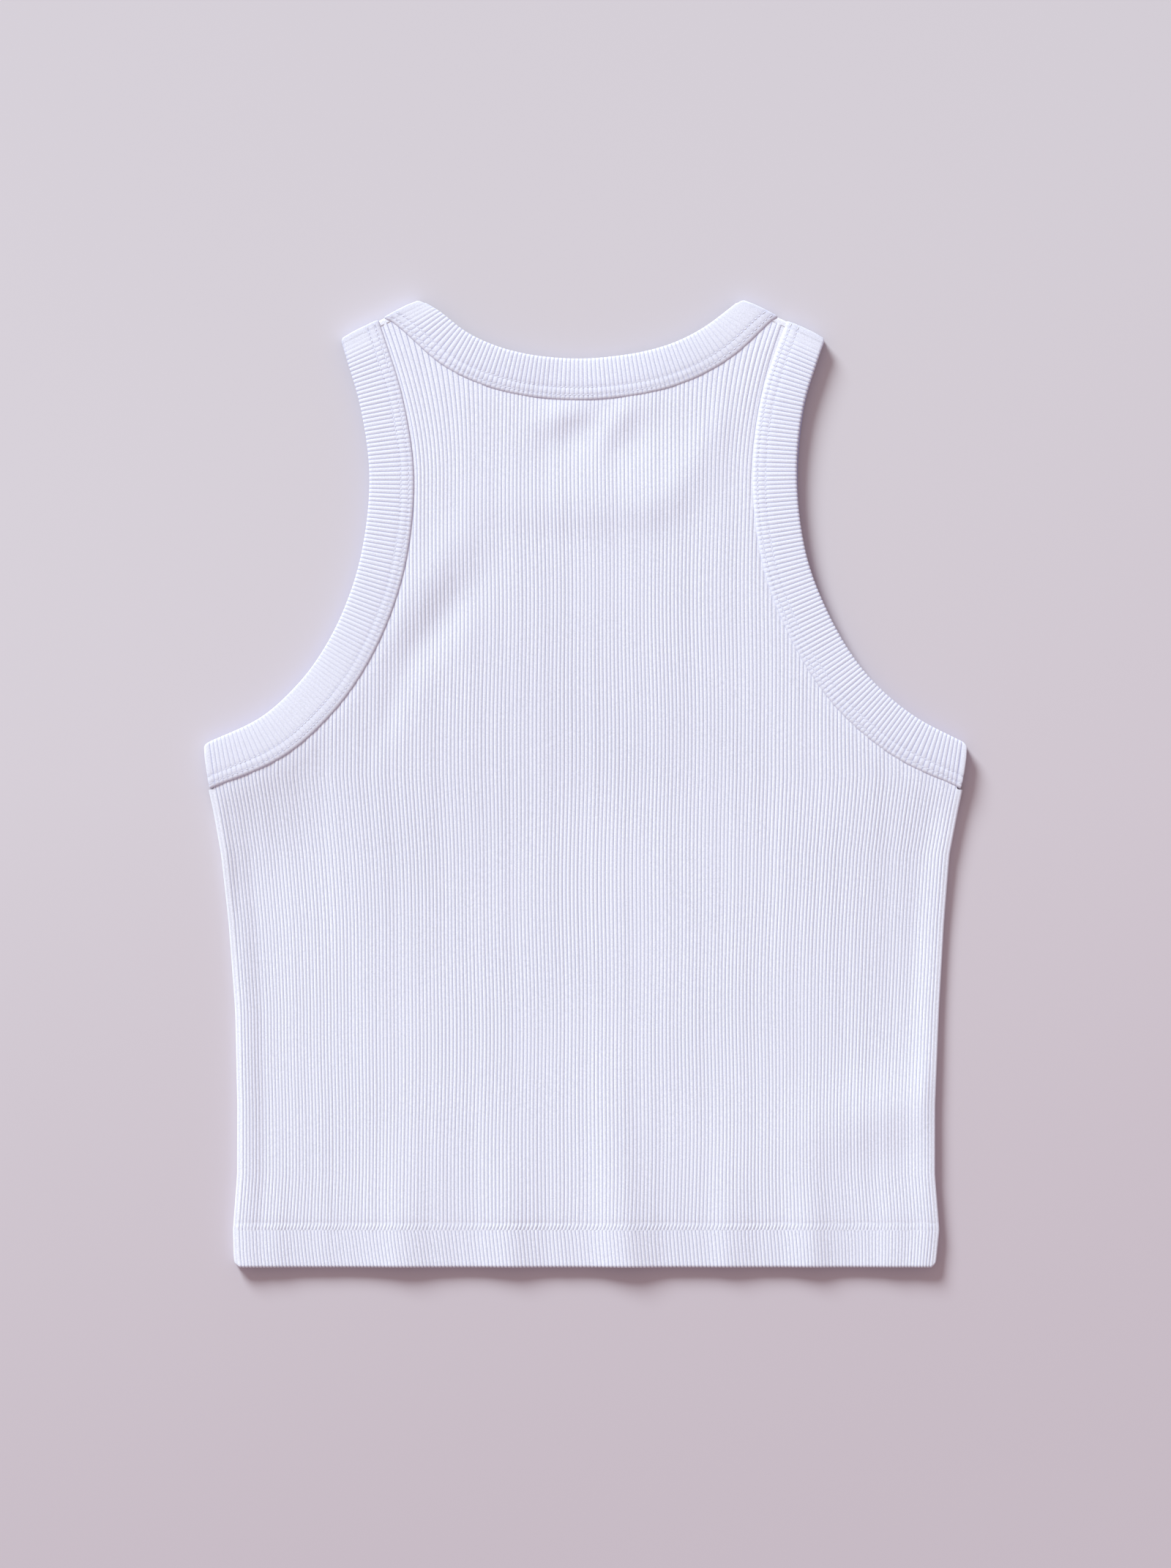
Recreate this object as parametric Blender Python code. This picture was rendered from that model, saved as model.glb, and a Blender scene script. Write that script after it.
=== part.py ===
"""Rib-knit tank top, laid flat on a surface with its back up.

Five pieces of cloth: a back panel and a front panel that lie on each other, and three bindings,
each one ring that wraps the panels' edges round the neck or an armhole. The rings turn over at
the shoulders and at the sides, so their back half lies on top and their front half beneath.

Lengths are in millimetres until a mesh is made, which is in metres. The neck points along +Y,
+Z is up, the surface is at z = 0 and the origin is the middle of the outline on that surface.
"""

import bmesh
import bpy
import numpy as np

MM = 0.001

# Cloth: one wall everywhere, and the air that parts two walls.
CLOTH = 1.0
GAP = 0.3
HEM_DEPTH = 18.7
HEM_TURN_UP = 1.0  # the turned-up layer, which thickens the hem
HEM_STEP = 4.0  # on the inner face, just above the stitches
HEM_SLOPE = 200.0  # on the outer face, which sinks slowly above the thick hem
SEAM_BULK = 1.2  # the side seam's allowance, folded inside along each side
SEAM_WIDTH = (5.0, 12.0)  # in from the side
SEAM_SLOPE = (5.0, 26.0)  # of the back panel that lies over it
SEAM_BULK_START = (2.0, 40.0)  # below an armhole binding

# Ribs: lengthwise on the body, crosswise on the bindings.
RIB_PITCH = 1.96
RIB_RISE = 0.4
RIB_START = (1.0, 4.5)  # out from a binding's seam
BAND_RIB_PITCH = 2.08
BAND_RIB_RISE = 0.3
BAND_RIB_START = (8.0, 26.0)  # in from a fold, where the strip is stretched flat
PLAIN_SIDE_STRIP = 3.7  # no rib shows where the cloth turns to the side seam

# A binding's section: two walls joined at the free edge, with a slot for the panel.
SLOT = CLOTH + 2 * GAP
SLOT_DEPTH = 9.0
BAND_THICK = 2 * CLOTH + SLOT
EDGE_ROUND = 0.9
NECK_BAND = {"at_shoulder": 20.5, "away": 21.2}
ARM_BAND = {"at_shoulder": 21.7, "away": 23.0}

# The back half of a ring lies this high, on its front half.
BACK_LIFT = BAND_THICK + GAP
FOLD_RADIUS = (BAND_THICK + GAP) / 2
FOLD_REACH = FOLD_RADIUS + BAND_THICK / 2
FOLD_STEPS = 5
FOLD_TURN = 26.0  # over this length a binding's section swings round to its fold
RIBS_PER_STATION = 5
STATION_STEP = RIBS_PER_STATION * BAND_RIB_PITCH

# Where the panels' raw edges lie, from a binding's free edge and from a fold.
NECK_RAW_EDGE = 14.0
ARM_RAW_EDGE = 16.0
FOLD_CLEAR = FOLD_REACH + 0.8

# How the front half of the garment holds the back half up, by the distance from a free edge.
ARM_SLOPE = (26.0, 90.0)
NECK_SLOPE = (22.0, 130.0)
HOLE_SLOPE = (4.0, 110.0)  # inwards, over the front neck's hole
FRONT_EDGE_SLOPE = (26.0, 36.0)  # of the front panel, from its binding down to the surface

HEM_Y = -247.0
SCALLOP = 0.35
CORNER_RADIUS = 3.5

# Half widths of the body below the armholes, from the middle line.
SIDE = {
    "y": (-247.0, -240.0, -228.0, -200.0, -165.0, -116.0, -71.0, -37.0, -15.0, 3.0),
    "left": (178.6, 179.2, 179.5, 177.4, 177.3, 178.4, 181.8, 185.5, 189.4, 193.4),
    "right": (178.4, 179.2, 180.4, 178.2, 178.3, 180.3, 182.9, 185.6, 189.8, 193.6),
}
CHEST_HALF = 193.5

# Free edge of each armhole, from the shoulder down to the side. Front and back are alike.
ARMHOLE = {
    "y": (226.5, 214.0, 190.0, 155.0, 115.0, 85.5, 63.0, 48.0, 33.0, 18.9),
    "left": (125.0, 121.0, 114.2, 109.8, 114.2, 123.9, 136.2, 148.2, 165.3, 195.0),
    "right": (122.6, 118.0, 110.8, 107.6, 112.7, 123.9, 137.0, 149.7, 168.3, 195.2),
}
# Free edges of the neck, from the left shoulder to the right one.
BACK_NECK = {
    "x": (-85.1, -74.6, -60.0, -44.8, -29.9, -14.9, 0.0, 14.9, 29.9, 44.8, 59.7, 80.2),
    "y": (246.3, 240.0, 228.8, 221.9, 218.0, 216.1, 215.7, 216.9, 219.3, 223.7, 231.2, 246.6),
}
FRONT_NECK = {
    "x": (-85.1, -79.0, -73.5, -68.5, -61.0, -48.0, -28.0, 0.0,
          28.0, 47.0, 59.0, 65.8, 70.5, 75.5, 80.2),
    "y": (246.3, 226.0, 206.0, 188.0, 172.0, 160.0, 154.5, 153.5,
          155.5, 162.0, 174.5, 190.0, 207.0, 227.0, 246.6),
}
SIDE_FOLD_TILT = 0.14  # sideways run of a side's fold for each millimetre down
BACK_MIDDLE = (0.0, 40.0)  # on the cloth's side of both armholes
CHEST_MIDDLE = (0.0, -40.0)  # on the cloth's side of the neck

PANEL_COLOUR = (0.76, 0.76, 0.87)
BINDING_COLOUR = (0.78, 0.78, 0.90)
CLOTH_ROUGHNESS = 0.9

# Ribs lean outwards in the straps, as the armhole edge does.
LEAN = 15.2
LEAN_FROM_Y = 155.0
LEAN_TO_Y = 226.5
LEAN_POWER = 1.8
LEAN_X = (45.0, 90.0)

# Soft ridges (+) and troughs (-) that lie in the back panel: centre, half length, half width,
# heading in degrees from +X, and height.
RIDGE_COLUMNS = ("x", "y", "length", "width", "heading", "rise")
RIDGES = (
    (0.0, -60.0, 190.0, 110.0, 90.0, 0.9),
    (-99.0, -244.0, 50.0, 14.0, 92.0, 1.5),
    (-40.0, -244.0, 52.0, 13.0, 92.0, 1.1),
    (13.0, -246.0, 80.0, 13.0, 96.0, 2.4),
    (69.0, -244.0, 48.0, 12.0, 90.0, 0.9),
    (113.0, -244.0, 44.0, 13.0, 92.0, 1.3),
    (-163.0, -244.0, 36.0, 14.0, 90.0, 1.4),
    (160.0, -244.0, 40.0, 15.0, 90.0, 1.7),
    (-78.0, 66.0, 52.0, 13.0, 59.0, 0.7),
    (-96.0, 24.0, 44.0, 13.0, 62.0, 0.6),
    (-104.0, 62.0, 58.0, 12.0, 58.0, -0.5),
)
RELIEF_FADE = (26.0, 52.0)
RELIEF_SIDE_FADE = (0.0, 16.0)

# Mesh sizes.
SAMPLE = 3.0
OUTER_TOLERANCE = np.array([0.6, 0.34])  # across and up
INNER_TOLERANCE = np.array([0.6, 0.15])
TIGHTER_IN_BINDING = 3.0  # how much smaller a miss may be where the cloth lies in a binding's slot
BINDING_MARGIN = 2.0
COARSE_COLUMNS = 8
JUMP = 7.0  # between the ends of two neighbouring lines, where a strap's outer edge begins
JUMP_NEIGHBOURS = (0, 1, 3)
LINE_SAMPLE = 4.0
TOP_SEARCH = (-30.0, 250.0, 0.5)
FAR_AWAY = 1e3
FRONT_COLUMN_STEP = 4.8


def step(value, low, high):
    """A smooth 0 to 1 as the value goes from low to high, whichever is larger."""
    t = np.clip((np.asarray(value, float) - low) / (high - low), 0.0, 1.0)
    return t * t * (3.0 - 2.0 * t)


def smooth_curve(points, spacing):
    """Points at about this spacing along a centripetal Catmull-Rom curve through the given ones."""
    points = np.asarray(points, float)
    ends = 2 * points[[0, -1]] - points[[1, -2]]
    padded = np.vstack([ends[:1], points, ends[1:]])
    knots = np.concatenate([[0.0], np.cumsum(np.sqrt(np.linalg.norm(np.diff(padded, axis=0), axis=1)))])
    made = []
    for i in range(1, len(padded) - 2):
        p, k = padded[i - 1 : i + 3], knots[i - 1 : i + 3]
        count = max(2, int(np.ceil(np.linalg.norm(p[2] - p[1]) / spacing)))
        t = np.linspace(k[1], k[2], count, endpoint=False)[:, None]
        a = [((k[j + 1] - t) * p[j] + (t - k[j]) * p[j + 1]) / (k[j + 1] - k[j]) for j in range(3)]
        b = [((k[j + 2] - t) * a[j] + (t - k[j]) * a[j + 1]) / (k[j + 2] - k[j]) for j in range(2)]
        made.append(((k[2] - t) * b[0] + (t - k[1]) * b[1]) / (k[2] - k[1]))
    return np.vstack([*made, points[-1:]])


def distance(points, line):
    """The distance of each point from a polyline."""
    best = np.full(len(points), np.inf)
    for start, end in zip(line[:-1], line[1:]):
        along = end - start
        t = np.clip((points - start) @ along / (along @ along), 0.0, 1.0)
        best = np.minimum(best, np.linalg.norm(points - start - t[:, None] * along, axis=1))
    return best


def armhole_line(side):
    """The free edge of one armhole, from the shoulder to the underarm."""
    sign = -1.0 if side == "left" else 1.0
    return smooth_curve(np.column_stack([sign * np.array(ARMHOLE[side]), ARMHOLE["y"]]), LINE_SAMPLE)


ARM_LINES = {side: armhole_line(side) for side in ("left", "right")}
BACK_NECK_LINE = smooth_curve(np.column_stack([BACK_NECK["x"], BACK_NECK["y"]]), LINE_SAMPLE)
FRONT_NECK_LINE = smooth_curve(np.column_stack([FRONT_NECK["x"], FRONT_NECK["y"]]), LINE_SAMPLE)
SHOULDERS = {
    "left": np.array([ARM_LINES["left"][0], BACK_NECK_LINE[0]]),
    "right": np.array([ARM_LINES["right"][0], BACK_NECK_LINE[-1]]),
}


def from_armholes(points):
    """The distance from the nearer armhole's free edge."""
    return np.minimum(distance(points, ARM_LINES["left"]), distance(points, ARM_LINES["right"]))


def below_front_neck(points):
    """The distance below the front neck's free edge, negative inside the neck hole."""
    edge_y = np.interp(points[:, 0], FRONT_NECK_LINE[:, 0], FRONT_NECK_LINE[:, 1], FAR_AWAY, FAR_AWAY)
    return distance(points, FRONT_NECK_LINE) * np.where(points[:, 1] > edge_y, -1.0, 1.0)


def support(points):
    """How high the front half of the garment holds the back half: 0 where nothing is beneath."""
    armholes = 1 - step(from_armholes(points), *ARM_SLOPE)
    below = below_front_neck(points)
    neck = np.where(below >= 0, 1 - step(below, *NECK_SLOPE), 1 - step(-below, *HOLE_SLOPE))
    return BACK_LIFT * (1 - (1 - armholes) * (1 - neck))


def hem_share(points):
    """1 in the turned-up hem, 0 above it."""
    return 1 - step(points[:, 1], HEM_Y + HEM_DEPTH, HEM_Y + HEM_DEPTH + HEM_STEP)


def relief(points):
    """The soft ridges and troughs of the back panel, which end before the bindings."""
    height = np.zeros(len(points))
    for row in RIDGES:
        ridge = dict(zip(RIDGE_COLUMNS, row))
        heading = np.radians(ridge["heading"])
        away = points - (ridge["x"], ridge["y"])
        along = away @ (np.cos(heading), np.sin(heading))
        across = away @ (-np.sin(heading), np.cos(heading))
        height += ridge["rise"] * np.exp(-(along / ridge["length"]) ** 2 - (across / ridge["width"]) ** 2)
    edge = np.minimum(from_armholes(points), distance(points, BACK_NECK_LINE))
    return np.maximum(height, 0.0) * step(edge, *RELIEF_FADE) * step(from_side(points), *RELIEF_SIDE_FADE)


def from_side(points):
    """The distance in from the body's side at each point's height, on the point's own side."""
    left = np.interp(points[:, 1], SIDE["y"], SIDE["left"])
    right = np.interp(points[:, 1], SIDE["y"], SIDE["right"])
    return np.where(points[:, 0] < 0, left, right) - np.abs(points[:, 0])


def seam_bulk(points, slope):
    """How much a side seam's allowance raises what lies on it, none under a binding."""
    below_binding = step(from_armholes(points) - ARM_BAND["away"], *SEAM_BULK_START)
    return SEAM_BULK * (1 - step(from_side(points), *slope)) * below_binding


def back_outside(points):
    """Height of the back panel's outer face between its ribs, smooth over the turned-up hem."""
    top = HEM_Y + HEM_DEPTH
    hem = 2 * HEM_TURN_UP * (1 - step(points[:, 1], top, top + HEM_SLOPE))
    return 2 * CLOTH + GAP + hem + support(points) + relief(points) + seam_bulk(points, SEAM_SLOPE)


def back_inside(points):
    return back_outside(points) - CLOTH - HEM_TURN_UP * hem_share(points)


def from_bindings(points):
    """The distance from the nearer seam of the back's bindings, negative under a binding."""
    arm = from_armholes(points) - ARM_BAND["away"]
    return np.minimum(arm, distance(points, BACK_NECK_LINE) - NECK_BAND["away"])


def rib_rise(points):
    """How far a crest stands out: its full rise in the open, nothing under a binding."""
    return RIB_RISE * step(from_bindings(points), *RIB_START)


def front_outside(points):
    """Height of the front panel's outer face, flat on the surface but for its edge in a binding."""
    edge = np.minimum(from_armholes(points), np.abs(below_front_neck(points)))
    return (CLOTH + GAP) * (1 - step(edge, *FRONT_EDGE_SLOPE))


def front_inside(points):
    thick = CLOTH + HEM_TURN_UP * hem_share(points) + seam_bulk(points, SEAM_WIDTH)
    return front_outside(points) + thick


def rib_line(share, y):
    """Points of the body's lengthwise line at this share of the half width, -1 to 1, at each y."""
    y = np.asarray(y, float)
    side = "left" if share < 0 else "right"
    reach = np.interp(y, SIDE["y"], SIDE[side], right=CHEST_HALF)
    size = abs(share)
    x = CHEST_HALF * size + (reach - CHEST_HALF) * size * size
    lean = LEAN * np.clip((y - LEAN_FROM_Y) / (LEAN_TO_Y - LEAN_FROM_Y), 0.0, None) ** LEAN_POWER
    x = x + lean * step(x, *LEAN_X)
    return np.column_stack([np.sign(share) * x, y])


def hem_edge(share, crest):
    """The hem's lowest y on this line: round at the corners and scalloped by the ribs."""
    inset = CHEST_HALF * (1 - abs(share))
    short = max(CORNER_RADIUS - inset, 0.0)
    corner = CORNER_RADIUS - np.sqrt(max(CORNER_RADIUS**2 - short**2, 0.0))
    return HEM_Y + corner - (SCALLOP if crest else 0.0)


def top_edge(share, neck_line):
    """The y where this line reaches the panel's raw edge, a shoulder or the turn of a binding."""
    y = np.arange(*TOP_SEARCH)
    points = rib_line(share, y)
    by_fold = CHEST_HALF - np.abs(points[:, 0]) < FOLD_CLEAR
    arm_limit = np.where(by_fold, ARM_BAND["away"] + 2 * GAP, ARM_RAW_EDGE)
    room = np.minimum(from_armholes(points) - arm_limit, distance(points, neck_line) - NECK_RAW_EDGE)
    for shoulder in SHOULDERS.values():
        room = np.minimum(room, distance(points, shoulder) - FOLD_CLEAR)
    stop = int(np.argmax(room < 0))
    return y[stop - 1] + TOP_SEARCH[2] * room[stop - 1] / (room[stop - 1] - room[stop])


def kept_rows(points, tolerance, stops):
    """Which samples a line needs so that straight runs between them stay near to it.

    tolerance holds the largest miss in X and in Z, and stops are heights y that keep a row.
    """
    fixed = {0, len(points) - 1} | {int(np.argmin(np.abs(points[:, 1] - y))) for y in stops}
    fixed = sorted(fixed)
    in_binding = from_bindings(points[:, :2]) < BINDING_MARGIN
    weight = np.where(in_binding, TIGHTER_IN_BINDING, 1.0)
    keep = set(fixed)
    runs = list(zip(fixed[:-1], fixed[1:]))
    while runs:
        first, last = runs.pop()
        if last - first < 2:
            continue
        inner = points[first + 1 : last]
        share = (inner[:, 1] - points[first, 1]) / (points[last, 1] - points[first, 1])
        straight = points[first] + share[:, None] * (points[last] - points[first])
        miss = (np.abs(inner - straight)[:, (0, 2)] / tolerance).max(axis=1) * weight[first + 1 : last]
        worst = first + 1 + int(np.argmax(miss))
        if miss.max() > 1.0:
            keep.add(worst)
            runs += [(first, worst), (worst, last)]
    return sorted(keep)


class Skin:
    """A mesh under way: points in millimetres and triangles."""

    def __init__(self):
        self.points = []
        self.faces = []

    def add(self, points):
        """Adds the points and gives their numbers."""
        first = len(self.points)
        self.points.extend(map(tuple, points))
        return list(range(first, len(self.points)))

    def zip(self, a, b, a_at, b_at):
        """Joins two rows of points by triangles, in the order of their places along the rows."""
        i = j = 0
        while i < len(a) - 1 or j < len(b) - 1:
            if j == len(b) - 1 or (i < len(a) - 1 and a_at[i + 1] <= b_at[j + 1]):
                self.faces.append((a[i], b[j], a[i + 1]))
                i += 1
            else:
                self.faces.append((a[i], b[j], b[j + 1]))
                j += 1

    def places(self, row):
        """Each point's share of the row's length."""
        steps = np.linalg.norm(np.diff([self.points[n][:2] for n in row], axis=0), axis=1)
        return np.concatenate([[0.0], np.cumsum(steps)]) / max(steps.sum(), 1e-9)


def sheet(skin, lines, height, tolerance):
    """One face of a panel from its lengthwise lines; gives its hem, top and side rows of points.

    lines holds (share, low y, high y, is a crest) for each line. Where a line ends well above
    its neighbour, as at a strap's outer edge, the rest of it becomes part of the top row.
    """
    columns = []
    for k, (share, low, high, crest) in enumerate(lines):
        beside = [line[2] for line in lines[max(k - 1, 0) : k + 2]]
        stops = [y for y in beside if high - y > JUMP]
        y = np.sort([*np.linspace(low, high, int((high - low) / SAMPLE) + 2), *stops])
        flat = rib_line(share, y)
        rise = rib_rise(flat) if crest else 0.0
        if crest:
            stops.append(y[np.argmax(rise == 0.0)])
        points = np.column_stack([flat, height(flat) + rise])
        columns.append(skin.add(points[kept_rows(points, tolerance, stops)]))
    y_of = [np.array([skin.points[n][1] for n in column]) for column in columns]
    top = [columns[0][-1]]
    for k in range(len(columns) - 1):
        a, b = columns[k], columns[k + 1]
        a_used, b_used = len(a), len(b)
        if y_of[k][-1] - y_of[k + 1][-1] > JUMP:
            a_used = int(np.searchsorted(y_of[k], y_of[k + 1][-1])) + 1
            top += a[a_used - 1 : -1][::-1]
        elif y_of[k + 1][-1] - y_of[k][-1] > JUMP:
            b_used = int(np.searchsorted(y_of[k + 1], y_of[k][-1])) + 1
            top += b[b_used - 1 : -1]
        top.append(b[-1])
        skin.zip(a[:a_used], b[:b_used], y_of[k][:a_used], y_of[k + 1][:b_used])
    return [column[0] for column in columns], top, columns[0], columns[-1]


def panel(outer_lines, inner_lines, outer_height, inner_height, tolerance):
    """A closed wall of cloth between an outer and an inner face, joined round its edges."""
    skin = Skin()
    outer = sheet(skin, outer_lines, outer_height, tolerance)
    inner = sheet(skin, inner_lines, inner_height, INNER_TOLERANCE)
    for outer_row, inner_row in zip(outer, inner):
        skin.zip(outer_row, inner_row, skin.places(outer_row), skin.places(inner_row))
    return skin


def lines_of(shares, neck_line, ribbed):
    """(share, low y, high y, is a crest) of each line; every other line is a rib's crest."""
    plain = 1 - PLAIN_SIDE_STRIP / CHEST_HALF
    lines = []
    for k, share in enumerate(shares):
        crest = ribbed and k % 2 == 1 and abs(share) < plain
        lines.append((share, hem_edge(share, crest), top_edge(share, neck_line), crest))
    return lines


def plain_lines(lines, every):
    """The lines that the plain inner face keeps, more of them where the outline jumps."""
    last = len(lines) - 1
    keep = set(range(0, last, every)) | {last}
    for k in range(last):
        if abs(lines[k][2] - lines[k + 1][2]) > JUMP:
            keep |= {max(k - n, 0) for n in JUMP_NEIGHBOURS}
            keep |= {min(k + 1 + n, last) for n in JUMP_NEIGHBOURS}
    return [(*lines[k][:3], False) for k in sorted(keep)]


def rib_shares(spacing):
    """Shares of the half width from -1 to 1, an odd count so that one is 0."""
    count = 2 * int(round(CHEST_HALF / spacing))
    return [2 * k / count - 1 for k in range(count + 1)]


def build_back_panel():
    lines = lines_of(rib_shares(RIB_PITCH / 2), BACK_NECK_LINE, ribbed=True)
    return panel(lines, plain_lines(lines, COARSE_COLUMNS), back_outside, back_inside, OUTER_TOLERANCE)


def build_front_panel():
    lines = lines_of(rib_shares(FRONT_COLUMN_STEP), FRONT_NECK_LINE, ribbed=False)
    outer = plain_lines(lines, 1)
    return panel(outer, outer, front_outside, front_inside, INNER_TOLERANCE)


def unit(vector):
    return vector / np.linalg.norm(vector)


def half_ring(line, fold_dirs, widths, towards):
    """Stations along one half of a ring, and the headings in which it turns over at its two ends.

    A station is a place, the heading across the cloth, the length so far and the width. The half
    ends where its turn starts, on the free edge at a fold's reach before the tip, and turns over
    along the chord from there to the tip, so that the edge runs on straight.

    fold_dirs are the headings of the folds at the line's two ends, towards is a point on the
    cloth's side of it, and widths gives the width at each length.
    """
    turns = []
    for fold in fold_dirs:
        outward = np.array([-fold[1], fold[0]])
        outward *= np.sign(outward @ (line[0] - line[len(line) // 2]))
        inset = (line[0] - line) @ outward
        k = int(np.argmax(inset > FOLD_REACH))
        share = (FOLD_REACH - inset[k - 1]) / (inset[k] - inset[k - 1])
        start = line[k - 1] + share * (line[k] - line[k - 1])
        turns.append((line[0] - start) / FOLD_REACH)
        line = np.vstack([start, line[k:]])[::-1]
    lengths = np.concatenate([[0.0], np.cumsum(np.linalg.norm(np.diff(line, axis=0), axis=1))])
    total = lengths[-1]
    count = int(round(total / STATION_STEP))
    fine = np.linspace(0.0, total, count * 2 * RIBS_PER_STATION + 1)
    places = np.column_stack([np.interp(fine, lengths, line[:, i]) for i in (0, 1)])
    tangents = np.gradient(places, axis=0)
    across = np.column_stack([-tangents[:, 1], tangents[:, 0]])
    across /= np.linalg.norm(across, axis=1)[:, None]
    middle = len(fine) // 2
    across *= np.sign(across[middle] @ (np.asarray(towards) - places[middle]))
    for fold, away in ((fold_dirs[0], fine), (fold_dirs[1], total - fine)):
        turn = (1 - step(away, 0.0, FOLD_TURN))[:, None]
        across = across * (1 - turn) + np.asarray(fold) * turn
    across /= np.linalg.norm(across, axis=1)[:, None]
    return (places, across, fine, widths(fine, total)), turns


def band_section(width):
    """The binding's section at rest: (across, up) from the free edge and its middle height."""
    half, slot = BAND_THICK / 2, SLOT / 2
    inner = width - SLOT_DEPTH
    return np.array([
        (width, half), (EDGE_ROUND, half), (0.0, slot), (0.0, -slot), (EDGE_ROUND, -half),
        (width, -half), (width, -slot), (inner, -slot), (inner, slot), (width, slot),
    ])


RIBBED_POINTS = (0, 1)  # of the section: the outer wall's two edges


def flat_section(place, across, width, upward):
    """A section's points where the ring lies flat: on the front half if upward, else beneath."""
    section = band_section(width)
    xy = place + section[:, :1] * across
    if upward:
        z = support(xy) + BAND_THICK / 2 + section[:, 1]
    else:
        z = BAND_THICK / 2 - section[:, 1]
    return np.column_stack([xy, z])


def fold_sections(places, across, turns, width):
    """The sections where the ring turns over, from its back half on top to its front half beneath.

    places and turns hold the place and the heading of the turn on the back and on the front.
    """
    section = band_section(width)
    centre_z = BAND_THICK + GAP / 2
    made = []
    for share in np.linspace(0.0, 1.0, FOLD_STEPS + 2)[1:-1]:
        angle = np.pi * share
        place, turn = (back * (1 - share) + front * share for back, front in (places, turns))
        reach = (FOLD_RADIUS + section[:, 1]) * np.sin(angle)
        xy = place + section[:, :1] * across + reach[:, None] * turn
        z = centre_z + (FOLD_RADIUS + section[:, 1]) * np.cos(angle)
        made.append(np.column_stack([xy, z]))
    return made


def ring(back_line, front_line, fold_dirs, widths, towards):
    """One binding: its back half on top, a fold, its front half beneath, and a fold."""
    skin = Skin()
    coarse = []  # (place along the ring, section's points)
    fine = {n: [] for n in RIBBED_POINTS}  # (place along the ring, point)
    (places, across, along, width), back_turns = half_ring(back_line, fold_dirs, widths, towards)
    front, front_turns = half_ring(front_line, fold_dirs, widths, towards)
    total = along[-1]
    per_station = 2 * RIBS_PER_STATION
    rise = BAND_RIB_RISE * step(np.minimum(along, total - along), *BAND_RIB_START)
    for k in range(len(places)):
        section = flat_section(places[k], across[k], width[k], True)
        if k % per_station == 0:
            coarse.append((along[k], section))
        for n in RIBBED_POINTS:
            lifted = section[n] + (0.0, 0.0, rise[k] if k % 2 else 0.0)
            fine[n].append((along[k], lifted))
    start = total
    for end in (-1, 0):
        ends = (places[end], front[0][end])
        turned = fold_sections(ends, across[end], (back_turns[end], front_turns[end]), width[end])
        if end == 0:
            turned = turned[::-1]
        for i, section in enumerate(turned):
            at = start + (i + 1) * FOLD_RADIUS / 2
            coarse.append((at, section))
            for n in RIBBED_POINTS:
                fine[n].append((at, section[n]))
        start += (len(turned) + 1) * FOLD_RADIUS / 2
        if end == 0:
            break
        beneath = [values[::-1] for values in front]
        length = beneath[2][0]
        for k in range(0, len(beneath[0]), per_station):
            at = start + length - beneath[2][k]
            section = flat_section(beneath[0][k], beneath[1][k], beneath[3][k], False)
            coarse.append((at, section))
            for n in RIBBED_POINTS:
                fine[n].append((at, section[n]))
        start += length
    close_ring(skin, coarse, fine, start)
    return skin


def close_ring(skin, coarse, fine, total):
    """Makes the rows of points that run round the ring, and joins each to the next."""
    rows, places = [], []
    for n in range(len(coarse[0][1])):
        stations = fine[n] if n in fine else [(at, section[n]) for at, section in coarse]
        numbers = skin.add([point for _, point in stations])
        rows.append(numbers + numbers[:1])
        places.append([at for at, _ in stations] + [total])
    for n in range(len(rows)):
        following = (n + 1) % len(rows)
        skin.zip(rows[n], rows[following], places[n], places[following])


def between(band, share):
    """A binding's width at this share of the way from its width at the shoulder to that away."""
    return band["at_shoulder"] + (band["away"] - band["at_shoulder"]) * share


def build_armhole_binding(side):
    tip, neck_tip = SHOULDERS[side]
    inward = 1.0 if side == "left" else -1.0
    folds = (unit(neck_tip - tip), unit(np.array([inward * SIDE_FOLD_TILT, -1.0])))

    def widths(along, total):
        return between(ARM_BAND, step(along, 0.0, total / 2))

    line = ARM_LINES[side]
    return ring(line, line, folds, widths, BACK_MIDDLE)


def build_neck_binding():
    folds = tuple(unit(SHOULDERS[side][0] - SHOULDERS[side][1]) for side in ("left", "right"))

    def widths(along, total):
        return between(NECK_BAND, step(np.minimum(along, total - along), 0.0, total / 3))

    return ring(BACK_NECK_LINE, FRONT_NECK_LINE, folds, widths, CHEST_MIDDLE)


def cloth_material(name, colour):
    """A matt knit finish of the node's own."""
    material = bpy.data.materials.new(name)
    material.use_nodes = True
    shader = material.node_tree.nodes["Principled BSDF"]
    shader.inputs["Base Color"].default_value = (*colour, 1.0)
    shader.inputs["Roughness"].default_value = CLOTH_ROUGHNESS
    shader.inputs["Metallic"].default_value = 0.0
    return material


def add_piece(name, skin, colour):
    """Makes the named object from a skin, with its faces turned outwards."""
    mesh = bpy.data.meshes.new(name)
    mesh.from_pydata((np.array(skin.points) * MM).tolist(), [], skin.faces)
    work = bmesh.new()
    work.from_mesh(mesh)
    bmesh.ops.recalc_face_normals(work, faces=work.faces)
    if work.calc_volume(signed=True) < 0:
        bmesh.ops.reverse_faces(work, faces=work.faces)
    work.to_mesh(mesh)
    work.free()
    mesh.materials.append(cloth_material(name, colour))
    piece = bpy.data.objects.new(name, mesh)
    bpy.context.scene.collection.objects.link(piece)
    return piece


def centre_on_origin(pieces):
    """Moves the meshes so that the origin is the bottom centre of all of them together."""
    corners = np.array([vertex.co[:] for piece in pieces for vertex in piece.data.vertices])
    low, high = corners.min(axis=0), corners.max(axis=0)
    shift = -np.array([(low[0] + high[0]) / 2, (low[1] + high[1]) / 2, low[2]])
    for piece in pieces:
        for vertex in piece.data.vertices:
            vertex.co = vertex.co[:] + shift


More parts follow.
